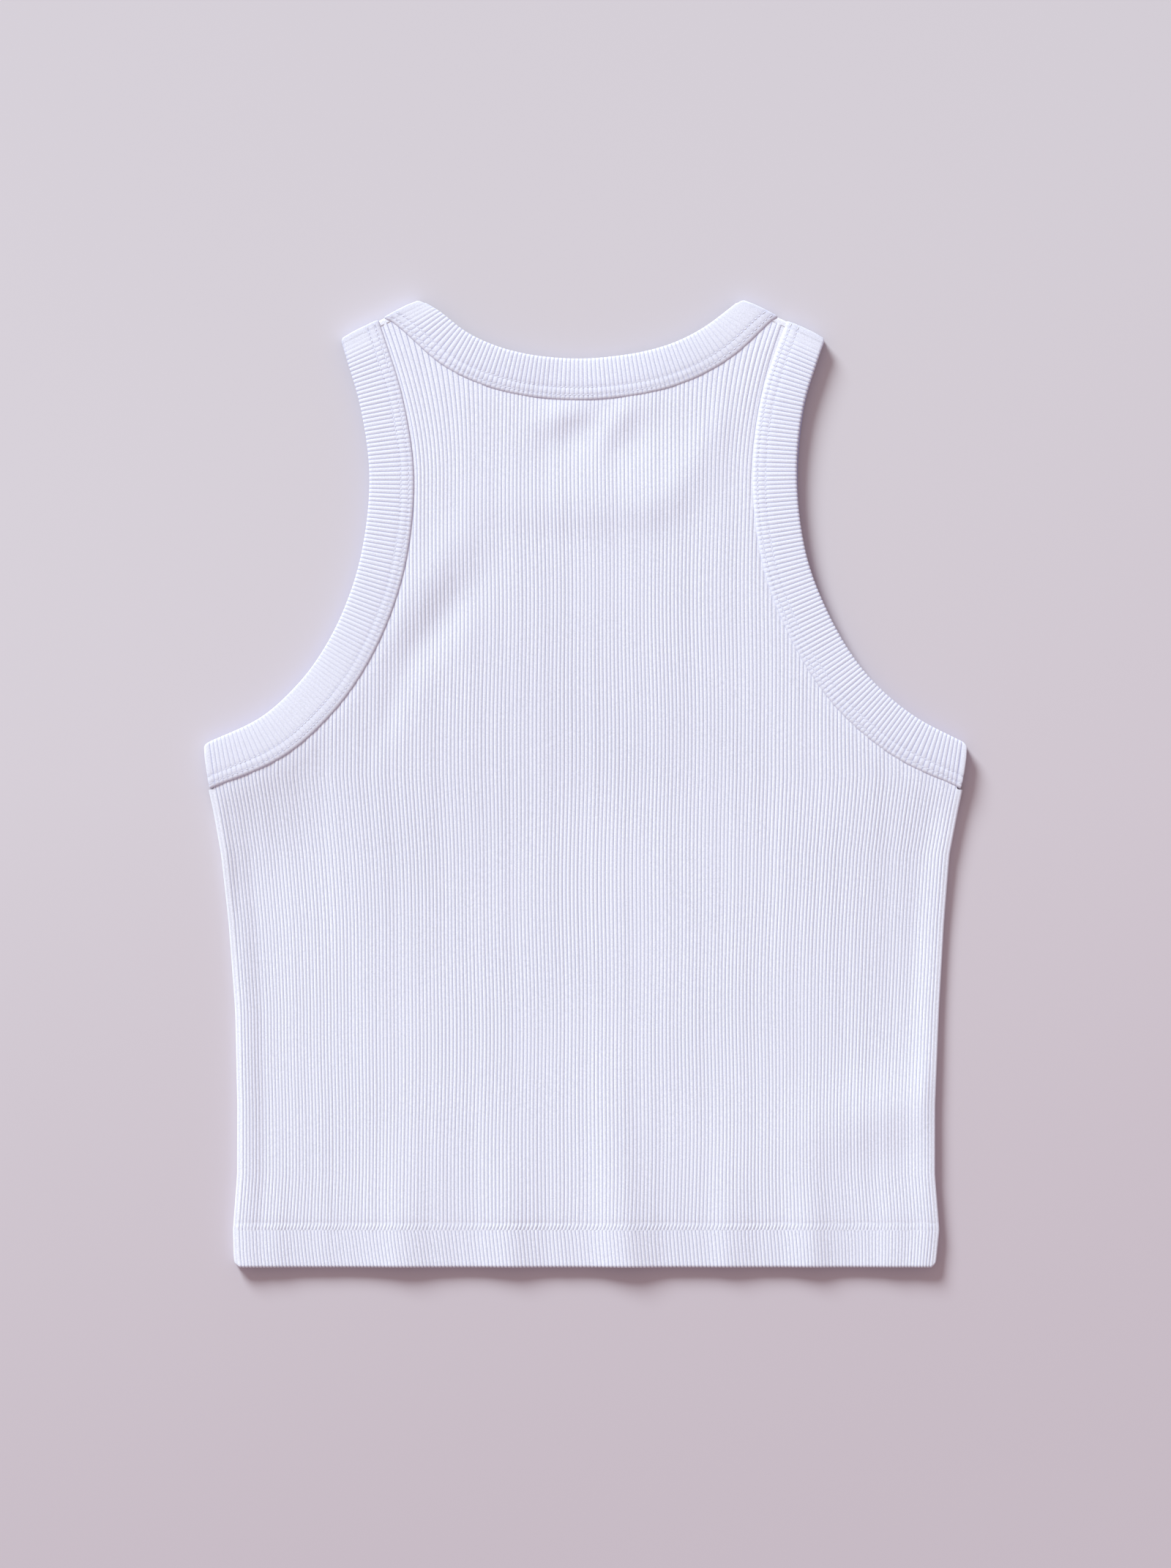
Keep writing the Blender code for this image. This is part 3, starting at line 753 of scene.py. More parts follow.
@dataclass(frozen=True)
class LaidForm:
    """Heights of the laid cloth above the surface, in millimetres."""

    creases: tuple[Crease, ...] = (
        Crease(0.0, -60.0, 190.0, 110.0, 90.0, 0.5),
        # flutes of the hem, from left to right
        Crease(-162.0, -244.0, 36.0, 11.0, 92.0, 1.2),
        Crease(-93.0, -244.0, 50.0, 13.0, 92.0, 1.7),
        Crease(-38.0, -244.0, 52.0, 11.0, 92.0, 1.4),
        Crease(21.0, -246.0, 70.0, 13.0, 97.0, 2.6),
        Crease(73.0, -244.0, 48.0, 10.0, 92.0, 1.0),
        Crease(115.0, -244.0, 44.0, 10.0, 96.0, 1.6),
        Crease(160.0, -244.0, 40.0, 13.0, 90.0, 1.3),
        # beside the left armhole
        Crease(-77.0, 108.0, 30.0, 9.0, 57.0, 0.6),
        Crease(-76.0, 79.0, 36.0, 9.0, 50.0, -1.05),
        Crease(-99.0, 37.0, 20.0, 7.0, 66.0, -0.6),
        # low on the right side
        Crease(156.0, -167.0, 42.0, 18.0, 15.0, 1.2),
        # under the neck: the cloth sags between the two neck edges and rolls over the front one
        Crease(6.0, 172.0, 38.0, 14.0, 8.0, -0.45),
        Crease(-7.5, 190.0, 17.0, 7.0, 28.0, 1.2),
        Crease(-2.0, 180.0, 18.0, 10.0, 28.0, -0.8),
        Crease(16.0, 183.5, 14.0, 6.5, 52.0, 0.85),
        Crease(26.0, 176.0, 17.0, 11.0, 50.0, -0.7),
        Crease(4.0, 142.0, 40.0, 11.0, 0.0, 0.4),
        Crease(45.0, 150.0, 24.0, 10.0, 38.0, 0.5),
        Crease(62.0, 175.0, 28.0, 9.0, 57.0, 0.5),
    )
    crease_fade: tuple[float, float] = (22.5, 28.0)  # from a free edge
    crease_side_fade: float = 8.0
    arm_slope: tuple[float, float, float] = (24.0, 130.0, 220.0)  # its start, its ends outside and in
    arm_span: tuple[float, float] = (4.0, 60.0)  # in from the side, from the one end to the other
    drop: tuple[float, float] = (-150.0, -100.0)  # from where to where across the cloth drops sooner
    drop_end: float = 82.0  # the slope's end there
    drop_side: float = 8.0  # in from the side, where that drop is whole
    ripple: float = 0.032
    # each ripple's run across and up for a radian, its start and its strength
    ripples: tuple = ((1.9, 60.0, 0.0, 1.0), (3.3, -85.0, 1.7, 1.0), (5.1, 110.0, 0.0, 1.6))
    neck_step: tuple[float, float] = (19.5, 26.0)
    neck_step_share: float = 0.14
    neck_slope: tuple[float, float] = (22.0, 180.0)
    hole_slope: tuple[float, float] = (4.0, 110.0)
    front_slope: tuple[float, float] = (26.0, 36.0)  # of the front panel, down to the surface
    hem_slope: float = 200.0  # how far above the stitches the thick hem still holds the cloth up
    seam_bulk: float = 1.2  # the side seam's allowance, folded inside
    seam_width: tuple[float, float] = (5.0, 12.0)
    seam_slope: tuple[float, float] = (4.0, 16.0)
    seam_start: tuple[float, float] = (2.0, 40.0)  # below an armhole binding
    # each drift's reach, its run up and across for a radian, and its start
    drifts: tuple = ((0.35, 31.0, 47.0, 0.0), (0.3, 17.0, -29.0, 1.3), (0.25, 58.0, 19.0, 0.4))
    pucker: float = 0.25  # how far the stitches draw the ribs above them to and fro
    pucker_wave: tuple[float, float, float] = (5.6, 1.2, 23.0)  # its run, its bend and that one's run
    pucker_reach: float = 13.0
    jog: float = 1.0  # how far a rib is pushed sideways where the hem is stitched
    jog_run: float = 3.4
    hem_slant: float = 0.10
    groove: float = 0.05
    groove_width: float = 0.6

    def support(self, points: Array) -> Array:
        """How high the front half of the garment holds the back half.

        It is the whole height of a binding near an armhole and in the front neck's band, and falls
        smoothly with the distance from them: soon by the side and where the cloth drops under one
        arm, else slowly. The neck band's own seam is a small step in that fall.

        Args:
            points: (x, y) along their last axis.

        Returns:
            The height at each point.
        """
        arm = from_armholes(points)
        neck_y = np.interp(points[..., 0], FRONT_NECK[:, 0], FRONT_NECK[:, 1], FAR_AWAY, FAR_AWAY)
        below = distance(points, FRONT_NECK) * np.where(points[..., 1] > neck_y, -1.0, 1.0)
        side = from_side(points)
        start, by_side, within_cloth = self.arm_slope
        dropping = 1 - step(points[..., 0], *self.drop)
        end = by_side + (within_cloth - by_side) * step(side, *self.arm_span)
        end = end - (end - self.drop_end) * dropping * step(side, 0.0, self.drop_side)
        from_arm = (1 - np.clip((arm - start) / (end - start), 0.0, 1.0)) ** 2
        small, large = self.neck_step_share, 1 - self.neck_step_share
        under = 1 - small * step(below, *self.neck_step) - large * step(below, *self.neck_slope)
        within = 1 - step(-below, *self.hole_slope)
        from_neck = np.where(below >= 0, under, within)
        return SIZES.back_lift * (1 - (1 - from_arm) * (1 - from_neck))

    def hem_share(self, y: Array) -> Array:
        """1 in the turned-up hem, 0 above it."""
        return 1 - step(y, SIZES.stitch_y, SIZES.stitch_y + SIZES.hem_step)

    def creased(self, points: Array) -> Array:
        """The creases and fine lengthwise ripples, which fade at the bindings and the sides.

        Args:
            points: (x, y) along their last axis.

        Returns:
            The height at each point.
        """
        x, y = points[..., 0], points[..., 1]
        height = sum(crease.height(points) for crease in self.creases)
        waves = sum(size * np.sin(x / wide + y / high + at) for wide, high, at, size in self.ripples)
        edge = np.minimum(distance(points, BACK_NECK), from_armholes(points))
        fade = step(edge, *self.crease_fade) * step(from_side(points), 0.0, self.crease_side_fade)
        return (height + self.ripple * waves) * fade

    def bulk(self, points: Array, slope: tuple[float, float]) -> Array:
        """How much the side seams' allowance raises what lies on it, none under a binding.

        Args:
            points: (x, y) along their last axis.
            slope: from where to where in from the side it falls.

        Returns:
            The height at each point.
        """
        below = step(from_armholes(points) - SIZES.arm_band[1], *self.seam_start)
        return self.seam_bulk * (1 - step(from_side(points), *slope)) * below

    def back_outside(self, points: Array) -> Array:
        """The back panel's outer face between its ribs: smooth over the turned-up hem.

        Args:
            points: (x, y) along their last axis.

        Returns:
            The height at each point.
        """
        held = 1 - step(points[..., 1], SIZES.stitch_y, SIZES.stitch_y + self.hem_slope)
        flat = 2 * SIZES.cloth + SIZES.gap + 2 * SIZES.hem_turn_up * held
        lift = self.support(points) + self.creased(points) + self.bulk(points, self.seam_slope)
        return flat + np.maximum(lift, 0.0)

    def back_inside(self, points: Array) -> Array:
        """The back panel's inner face, one wall lower, two in the hem."""
        thick = SIZES.cloth + SIZES.hem_turn_up * self.hem_share(points[..., 1])
        return self.back_outside(points) - thick

    def front_outside(self, points: Array) -> Array:
        """The front panel's outer face: flat on the surface, but lifted where a binding holds it."""
        edge = np.minimum(from_armholes(points), distance(points, FRONT_NECK))
        return (SIZES.cloth + SIZES.gap) * (1 - step(edge, *self.front_slope))

    def front_inside(self, points: Array) -> Array:
        """The front panel's inner face, one wall higher, two in the hem, and over the side seams."""
        thick = SIZES.cloth + SIZES.hem_turn_up * self.hem_share(points[..., 1])
        return self.front_outside(points) + (thick + self.bulk(points, self.seam_width))

    def drift(self, x: Array, y: Array) -> Array:
        """How far a rib strays sideways: three slow waves, and soft puckers above the hem.

        Args:
            x: the places across.
            y: the places up.

        Returns:
            The way to the side at each place.
        """
        slow = sum(reach * np.sin(y / high + x / wide + at) for reach, high, wide, at in self.drifts)
        above = y - SIZES.stitch_y
        wide, bend, bend_run = self.pucker_wave
        draw = np.sin(x / wide + bend * np.sin(x / bend_run)) * bump(above, 1.0, self.pucker_reach)
        return slow + self.pucker * draw * step(above, -6.0, 1.0)

    def stitched_shift(self, y: Array, in_hem: bool) -> Array:
        """The sideways run of a rib at the hem's stitches.

        Above them it is pushed over in a short smooth hook, and in the hem it starts anew and
        slants evenly.

        Args:
            y: the places up.
            in_hem: below the stitches, and not above them.

        Returns:
            The way to the side at each place.
        """
        above = y - SIZES.stitch_y
        if in_hem:
            return np.maximum(-above, 0.0) * self.hem_slant
        return -self.jog * (1 - step(above, -0.3, self.jog_run))

    def stitched_groove(self, y: Array) -> Array:
        """How deep the stitches press the cloth: a narrow bell for each row, the upper one deeper."""
        low, high = (bump(y, row, self.groove_width) for row in SIZES.stitch_rows)
        return self.groove * (low + 2 * high)


FORM = LaidForm()


# ---------------------------------------------------------------------------------------------
# The two panels and the hem
# ---------------------------------------------------------------------------------------------


@dataclass(frozen=True)
class RibShape:
    """One rib as seen across it: wide round crests and narrow valleys."""

    phases: tuple[float, ...] = (0.0, 0.19, 0.5, 0.81)
    heights: tuple[float, ...] = (0.0, 0.8, 1.0, 0.8)

    def along(self, count: int) -> tuple[Array, Array]:
        """Places from 0 to count, a rib to each whole number, and the height at each place."""
        places = (np.arange(count)[:, None] + np.array(self.phases)).ravel()
        return np.append(places, count), np.append(np.tile(self.heights, count), 0.0)


RIB = RibShape()
# low enough to paint shade on the plain strips along the sides
PLAIN_SHADED_TONE = 0.64  # of cloth without ribs: painted shade between a valley's and a crest's


def rounding(inset: Array, radius: float) -> Array:
    """How far a quarter-round edge of this radius falls, at this distance in from the edge."""
    short = np.clip(radius - inset, 0.0, radius)
    return radius - np.sqrt(radius**2 - short**2)


@dataclass(frozen=True)
class Wales:
    """The lengthwise lines of a panel: their shares of the half width and their crest heights."""

    shares: Array
    crests: Array
    tones: Array  # painted shade: 0 in a valley to 1 on a crest, between where there are no ribs
    rib: Array  # the rib that each line belongs to

    @staticmethod
    def of(plain: tuple[float, float], every: int = 1) -> "Wales":
        """Lines across the whole panel.

        Args:
            plain: the width of the strips without ribs along the left and the right side.
            every: 1 keeps each line, 2 keeps crests and valleys alone.

        Returns:
            The lines, with more of them where the edges are rounded.
        """
        count = int(round(2 * SIZES.chest_half / SIZES.rib_pitch))
        places, heights = RIB.along(count)
        shares = places / count * 2 - 1
        if every == 1:
            near, extra = 1 - EDGE_LINES / SIZES.chest_half, np.zeros(len(EDGE_LINES))
            inner = np.abs(shares) < 1 - EDGE_LINES[-1] / SIZES.chest_half * 1.15
            heights = np.concatenate([extra, heights[inner], extra])
            places = np.concatenate([extra, places[inner], extra + count])
            shares = np.concatenate([-near, shares[inner], near[::-1]])
        else:
            shares, places, heights = shares[::every], places[::every], heights[::every]
        strip = np.where(shares < 0, *plain)
        ribbed = step(inset_of(shares), strip, strip + 1.0)
        tones = heights * ribbed + PLAIN_SHADED_TONE * (1 - ribbed)
        return Wales(shares, heights * ribbed, tones, places.astype(int))


TOP_SEARCH = np.arange(-30.0, 250.0, 1.0)  # heights up the garment among which a line ends
FOLD_CLEAR = 0.8  # between a binding's fold at the side and a panel's raw edge in the slot
SEAM_CLEAR = 0.15  # between that fold's seam and the panel's end


def tops_of(shares: Array, neck: Array) -> Array:
    """The y where each line reaches the panel's raw edge.

    The raw edge is at a fixed distance from the free edges of the bindings, at the line of a
    shoulder's fold, or just under a binding where that turns over at the side.

    Args:
        shares: the lines.
        neck: the free edge of the neck.

    Returns:
        One y for each line.
    """
    y = TOP_SEARCH
    x = OUTLINE.rib_x(shares[:, None], y[None, :])
    points = np.stack([x, np.broadcast_to(y, x.shape)], -1)
    by_fold = SIZES.chest_half - np.abs(x) < SIZES.fold_reach + FOLD_CLEAR
    limit = np.where(by_fold, SIZES.arm_band[1] + SEAM_CLEAR, SIZES.arm_raw_edge)
    room = np.minimum(from_armholes(points) - limit, distance(points, neck) - SIZES.neck_raw_edge)
    for shoulder in SHOULDERS.values():
        room = np.minimum(room, distance(points, shoulder) - SIZES.fold_reach)
    stop = np.argmax(room < 0, axis=1)
    rows = np.arange(len(shares))
    before, after = room[rows, stop - 1], room[rows, stop]
    return y[stop - 1] + before / (before - after)


LEAST_ROW = 0.3  # between a face's last whole row and the top of a line
EDGE_ROW = 0.08  # from a face's end to its next row, so that the end's shade stays narrow
EDGE_LINES = np.array([0.0, 0.1, 0.35, 0.8, 1.3])  # in from the side, where the edge is rounded
Placing = Callable[[Array, Array, Array, Array], Array]  # (share, y, crest height, rib) to points


@dataclass
class Face:
    """One face of a panel: a grid of points, cut off at the top of each line."""

    wales: Wales
    levels: Array
    tops: Array
    numbers: Array | None = None
    rows: Array | None = None

    def lay(self, skin: Skin, place: Placing) -> None:
        """Adds the face's points and cells.

        Args:
            skin: what they are added to.
            place: gives the points from their share, y, crest height and rib.
        """
        count = (self.levels[None, :] < self.tops[:, None] - LEAST_ROW).sum(axis=1) + 1
        ranks = np.arange(len(self.levels) + 2)[None, :]
        used = ranks <= count[:, None]
        level = np.append(self.levels, (0.0, 0.0))[None, :]
        last = self.tops[:, None] - np.where(ranks < count[:, None], EDGE_ROW, 0.0)
        y = np.where(ranks < count[:, None] - 1, level, last)[used]
        line = np.broadcast_to(np.arange(len(self.tops))[:, None], used.shape)[used]
        share, crest = self.wales.shares[line], self.wales.crests[line]
        cloth = np.column_stack([(share + 1) * SIZES.chest_half, y])
        added = skin.add(place(share, y, crest, self.wales.rib[line]), cloth, self.wales.tones[line])
        starts = np.concatenate([[0], np.cumsum(count + 1)[:-1]])
        self.numbers = added[starts[:, None] + np.minimum(ranks, count[:, None])]
        self.rows = count + 1
        skin.weave(self.numbers)

    def side(self, line: int) -> tuple[Array, Array]:
        """The point numbers up one line, and their places."""
        used = self.rows[line]
        return self.numbers[line, :used], np.append(self.levels, (FAR_AWAY, 2 * FAR_AWAY))[:used]

    def join(self, skin: Skin, other: "Face") -> None:
        """Closes the wall between this face and the other along the hem, top and sides.

        Args:
            skin: what the cells are added to.
            other: the other face.
        """
        for row in (0, -1):
            mine, yours = self.numbers[:, row], other.numbers[:, row]
            skin.triangles.append(seam(mine, yours, self.wales.shares, other.wales.shares))
        for line in (0, -1):
            mine, mine_at = self.side(line)
            yours, yours_at = other.side(line)
            skin.triangles.append(seam(mine, yours, mine_at, yours_at))


def run(*stretches: tuple[float, float, float]) -> Array:
    """Rising levels, from (low, high, step) stretches."""
    return np.unique(np.concatenate([np.arange(*stretch) for stretch in stretches]))


@dataclass
class Panel:
    """What the panels and the hem share: two faces of lengthwise lines, joined at their edges."""

    name: str = ""
    seed: int = 5
    unevenness: float = 0.16
    patchiness: float = 0.22
    round_edge: float = 0.9
    strips: tuple[float, float] = (1.8, 1.6)  # without ribs along the sides, on the outer face
    inner_strips: tuple[float, float] = (1.8, 1.6)
    start: float = SIZES.hem_y  # of the rows, which go up from there in (low, high, step) stretches
    rows: tuple = ()
    inner_rows: tuple = ()
    # of the patches of stronger ribs: run across, its bend and that one's run, run up, start, slant
    patch: tuple = (13.0, 1.3, 41.0, 29.0, 0.8, 50.0)

    def __post_init__(self) -> None:
        """Draws each rib's own strength."""
        draw = np.random.default_rng(self.seed)
        self.strength = 1 + self.unevenness * draw.uniform(-1.0, 1.0, 400)

    def flat(self, share: Array, y: Array, sideways: Array | float = 0.0) -> Array:
        """Where a point lies as seen from above.

        Args:
            share: its line's share of the half width.
            y: its height up the garment.
            sideways: how far the stitches push it.

        Returns:
            One (x, y) for each point: the line, moved sideways by its drift and by the stitches.
        """
        x = OUTLINE.rib_x(share, y)
        free = 1 - np.abs(share) ** 6
        return np.column_stack([x + free * (FORM.drift(x, y) + sideways), y])

    def rise(self, points: Array, crest: Array, rib: Array) -> Array:
        """How far a rib stands out.

        Args:
            points: (x, y) along their last axis.
            crest: the crest height of each.
            rib: the rib of each.

        Returns:
            Its crest height times its strength, in soft patches, and nothing under a binding.
        """
        arm = from_armholes(points) - SIZES.arm_band[1]
        seam_at = np.minimum(arm, distance(points, BACK_NECK) - SIZES.neck_band[1])
        x, y = points[..., 0], points[..., 1]
        wide, bend, bend_run, high, at, slant = self.patch
        wave = np.sin(x / wide + bend * np.sin(y / bend_run)) * np.sin(y / high + at + x / slant)
        patchy = 1 + self.patchiness * wave
        return SIZES.rib_rise * crest * self.strength[rib] * patchy * step(seam_at, 0.0, 1.2)

    def hemmed(self, share: Array, y: Array, scallop: Array) -> Array:
        """Moves the hem's edge from its straight line, with less and less above it.

        Args:
            share: each point's share of the half width.
            y: its height up the garment.
            scallop: how far its rib reaches below that line.

        Returns:
            The heights up the garment, with the hem's corners rounded.
        """
        edge = rounding(inset_of(share), SIZES.corner_radius) - scallop
        return y + edge * (1 - step(y, SIZES.hem_y, SIZES.hem_y + 6.0))

    def tops(self, shares: Array) -> Array:
        """Where the lines at these shares end."""
        return tops_of(shares, BACK_NECK)

    def outside(self, share: Array, y: Array, crest: Array, rib: Array) -> Array:
        """Points of the outer face.

        Args:
            share: each point's share of the half width.
            y: its height up the garment.
            crest: its crest height.
            rib: its rib's number.

        Returns:
            The points, one row each.
        """
        raise NotImplementedError

    def inside(self, share: Array, y: Array, crest: Array, rib: Array) -> Array:
        """Points of the inner face, from what the outer face's are made of."""
        raise NotImplementedError

    def build(self, shift: Array) -> bpy.types.Object:
        """Lays the two faces and joins them.

        Args:
            shift: added to every point, in millimetres.

        Returns:
            The piece.
        """
        skin = Skin()
        lines = Wales.of(self.strips), Wales.of(self.inner_strips, 2)
        levels = (self.start + run(*rows) for rows in (self.rows, self.inner_rows))
        outer, inner = (Face(some, own, self.tops(some.shares)) for some, own in zip(lines, levels))
        outer.lay(skin, self.outside)
        inner.lay(skin, self.inside)
        outer.join(skin, inner)
        return skin.piece(self.name, shift)


@dataclass
class BackPanel(Panel):
    """The back panel above the hem's stitches: one layer with lengthwise ribs."""

    name: str = "back_panel_knit"
    inner_strips: tuple[float, float] = (400.0, 400.0)
    start: float = SIZES.stitch_y
    rows: tuple = (
        (0.0, 5.0, 0.6), (EDGE_ROW, 0.1, 1.0), (5.0, 17.0, 2.0), (17.0, 40.0, 4.0), (41.0, 480.0, 5.8),
    )
    inner_rows: tuple = ((0.0, 10.0, 2.5), (10.0, 300.0, 9.0), (300.0, 480.0, 7.0))
    pressed: tuple[float, float] = (0.35, 0.4)  # share of a rib that the two rows of stitches press
    pressed_width: tuple[float, float] = (1.0, 0.9)

    def outside(self, share: Array, y: Array, crest: Array, rib: Array) -> Array:
        """The laid form plus the ribs, less the stitches' groove and the round of the side edges.

        Args:
            share, y, crest, rib: as the base class says.

        Returns:
            The points, one row each.
        """
        flat = self.flat(share, y, FORM.stitched_shift(y, False))
        rows = zip(self.pressed, SIZES.stitch_rows, self.pressed_width)
        pressed = sum(part * bump(y, row, width) for part, row, width in rows)
        up = FORM.back_outside(flat) + self.rise(flat, crest, rib) * (1 - pressed)
        up = up - FORM.stitched_groove(y) - rounding(inset_of(share), self.round_edge)
        return np.column_stack([flat, up])

    def inside(self, share: Array, y: Array, crest: Array, rib: Array) -> Array:
        """Points of the inner face: the laid form alone."""
        flat = self.flat(share, y, FORM.stitched_shift(y, False))
        return np.column_stack([flat, FORM.back_inside(flat)])


@dataclass
class BackHem(Panel):
    """The back's turned-up hem, below its stitches: two layers that end in a scalloped fold.

    The fold's edge is the hem's straight line, rounded at the corners and lower at each rib.
    """

    name: str = "back_hem_knit"
    fold_round: tuple[float, float] = (1.0, 0.8)  # of the outer face, and of the inner one
    scallop: float = 0.35
    flat_ribs: tuple[float, float, float] = (0.3, 0.45, 0.8)  # left at the fold, more above, by there
    rows: tuple = ((0.0, 0.3, 0.12), (0.35, 1.2, 0.3), (1.5, 16.0, 1.7), (16.0, 18.6, 0.6))
    inner_rows: tuple = ((0.0, 1.2, 0.35), (3.0, 18.0, 5.0))

    def tops(self, shares: Array) -> Array:
        """All the lines end at the stitches."""
        return np.full(len(shares), SIZES.stitch_y)

    def placed(self, share: Array, y: Array, crest: Array) -> Array:
        """Points as seen from above, with the fold's edge moved to its own line."""
        moved = self.hemmed(share, y, self.scallop * crest)
        return self.flat(share, moved, FORM.stitched_shift(moved, True))

    def outside(self, share: Array, y: Array, crest: Array, rib: Array) -> Array:
        """The laid form plus low ribs, less the groove and the round of the sides and the fold.

        Args:
            share, y, crest, rib: as the base class says.

        Returns:
            The points, one row each.
        """
        flat = self.placed(share, y, crest)
        above = y - SIZES.hem_y
        left, more, by = self.flat_ribs
        rise = self.rise(flat, crest, rib) * (left + more * step(above, 0.0, by))
        up = FORM.back_outside(flat) + rise - FORM.stitched_groove(y)
        side = rounding(inset_of(share), self.round_edge)
        return np.column_stack([flat, up - np.maximum(side, rounding(above, self.fold_round[0]))])

    def inside(self, share: Array, y: Array, crest: Array, rib: Array) -> Array:
        """Points of the inner face: the laid form with the round of the fold."""
        flat, round_up = self.placed(share, y, crest), rounding(y - SIZES.hem_y, self.fold_round[1])
        return np.column_stack([flat, FORM.back_inside(flat) + round_up])


@dataclass
class FrontPanel(Panel):
    """The front panel, face down: its ribs' crests rest on the surface."""

    name: str = "front_panel_knit"
    seed: int = 11
    round_edge: float = 0.6
    strips: tuple[float, float] = (0.3, 0.3)
    inner_strips: tuple[float, float] = (0.3, 0.3)
    fold_round: tuple[float, float] = (0.9, 0.7)  # of the outer face, and of the inner one
    scallop: float = 0.3
    groove_share: float = 0.6  # of the back's groove
    valley_share: float = 0.9  # of the ribs' rise, in the valleys
    rows: tuple = (
        (0.0, 1.3, 0.4), (2.5, 17.7, 4.0), (17.7, 23.2, 0.9), (24.7, 38.7, 4.0), (42.7, 487.0, 8.5),
    )
    inner_rows: tuple = ((0.0, 1.3, 0.6), (5.0, 16.7, 6.0), (17.7, 24.7, 1.7), (27.7, 487.0, 9.0))

    def tops(self, shares: Array) -> Array:
        """Where the lines at these shares end."""
        return tops_of(shares, FRONT_NECK)

    def placed(self, share: Array, y: Array, crest: Array) -> Array:
        """Points as seen from above, with the hem's edge moved to its own line."""
        return self.flat(share, self.hemmed(share, y, self.scallop * crest))

    def outside(self, share: Array, y: Array, crest: Array, rib: Array) -> Array:
        """The outer face, underneath: the laid form plus what the valleys are cut in by.

        Args:
            share, y, crest, rib: as the base class says.

        Returns:
            The points, one row each.
        """
        flat = self.placed(share, y, crest)
        cut = SIZES.rib_rise * (1 - crest * np.minimum(self.strength[rib], 1.0))
        above = y - SIZES.hem_y
        side = rounding(inset_of(share), self.round_edge)
        round_up = np.maximum(side, rounding(above, self.fold_round[0]))
        up = FORM.front_outside(flat) + cut * step(above, 0.0, 1.0) * self.valley_share
        return np.column_stack([flat, up + round_up + self.groove_share * FORM.stitched_groove(y)])

    def inside(self, share: Array, y: Array, crest: Array, rib: Array) -> Array:
        """Points of the inner face: one wall higher, two in the hem, less the fold's round."""
        flat, fall = self.placed(share, y, crest), rounding(y - SIZES.hem_y, self.fold_round[1])
        return np.column_stack([flat, FORM.front_inside(flat) - fall])


# ---------------------------------------------------------------------------------------------
# The bindings
# ---------------------------------------------------------------------------------------------


@dataclass(frozen=True)
class Calm:
    """A place where a binding's ribs are stretched flat."""

    x: float
    y: float
    radius: float
    amount: float

    def left(self, places: Array) -> Array:
        """What is left of the ribs at these places: 1 less the amount times a bell."""
        away = np.linalg.norm(places - (self.x, self.y), axis=1)
        return 1 - self.amount * bump(away, 0.0, self.radius)


@dataclass
class Stations:
    """The cross-sections of a binding, in order round its ring."""

    place: Array  # the free edge, as seen from above
    across: Array  # the heading from the free edge over the cloth
    outward: Array  # the heading in which the ring turns over
    angle: Array  # 0 on top, pi beneath
    width: Array
    crest: Array
    at: Array  # the length so far

    def reversed(self) -> "Stations":
        """The same cross-sections the other way round."""
        return Stations(*(getattr(self, name)[::-1] for name in self.__dataclass_fields__))

    @staticmethod
    def joined(parts: list["Stations"]) -> "Stations":
        """Several runs as one."""
        names = Stations.__dataclass_fields__
        return Stations(*(np.concatenate([getattr(part, name) for part in parts]) for name in names))

    def between(self, at: Array) -> "Stations":
        """The cross-sections at places between those that there are.

        Args:
            at: the lengths along the ring, in any shape.

        Returns:
            One cross-section for each, with every value straight between its neighbours.
        """
        flat = at.ravel()

        def mixed(values: Array) -> Array:
            """Values straight between their neighbours.

            Args:
                values: one for each cross-section that there is.

            Returns:
                One for each length.
            """
            if values.ndim == 1:
                return np.interp(flat, self.at, values)
            return np.column_stack([np.interp(flat, self.at, column) for column in values.T])

        return Stations(*(mixed(getattr(self, name)) for name in self.__dataclass_fields__))

    def points(self, across: Array, up: Array) -> Array:
        """Points of the binding.

        On top a point is as high as the garment beneath holds it. Through a fold the section
        turns about the fold's middle line, and beneath it lies on the surface.

        Args:
            across: how far each point is from the free edge.
            up: how far it is from the binding's middle.

        Returns:
            The points, in the shape of up and with one more axis.
        """
        angle = self.angle[:, None]
        sine, cosine = np.sin(angle), np.cos(angle)
        squared = (np.abs(sine) ** FOLD_POWER + np.abs(cosine) ** FOLD_POWER) ** (-1 / FOLD_POWER)
        squared = np.where(up > -SIZES.fold_radius / 2, squared, 1.0)
        out = (SIZES.fold_radius + up) * sine * squared
        out = np.maximum(out - rounding(across, FOLD_CORNER) * sine, 0.0)
        flat = self.place[:, None] + across[..., None] * self.across[:, None]
        flat = flat + out[..., None] * self.outward[:, None]
        turned = SIZES.band_thick + SIZES.gap / 2 + (SIZES.fold_radius + up) * cosine * squared
        on_top = FORM.support(flat) + SIZES.band_thick / 2 + up
        high = np.where(angle == 0.0, on_top, turned)
        return np.concatenate([flat, np.maximum(high, 0.0)[..., None]], -1)


FOLD_POWER = 14.0  # 2 folds in a half circle, more in a flatter one with a tighter corner
# The cross-sections through a fold, as shares of its half turn: most where its top corner bends.
FOLD_SHARES = np.array(
    [0.07, 0.15, 0.21, 0.235, 0.246, 0.254, 0.265, 0.30, 0.40, 0.50, 0.60, 0.70, 0.76, 0.88]
)
FOLD_RIBS = 3
FOLD_CORNER = 3.5  # the radius of its outer corners as seen from above, in millimetres

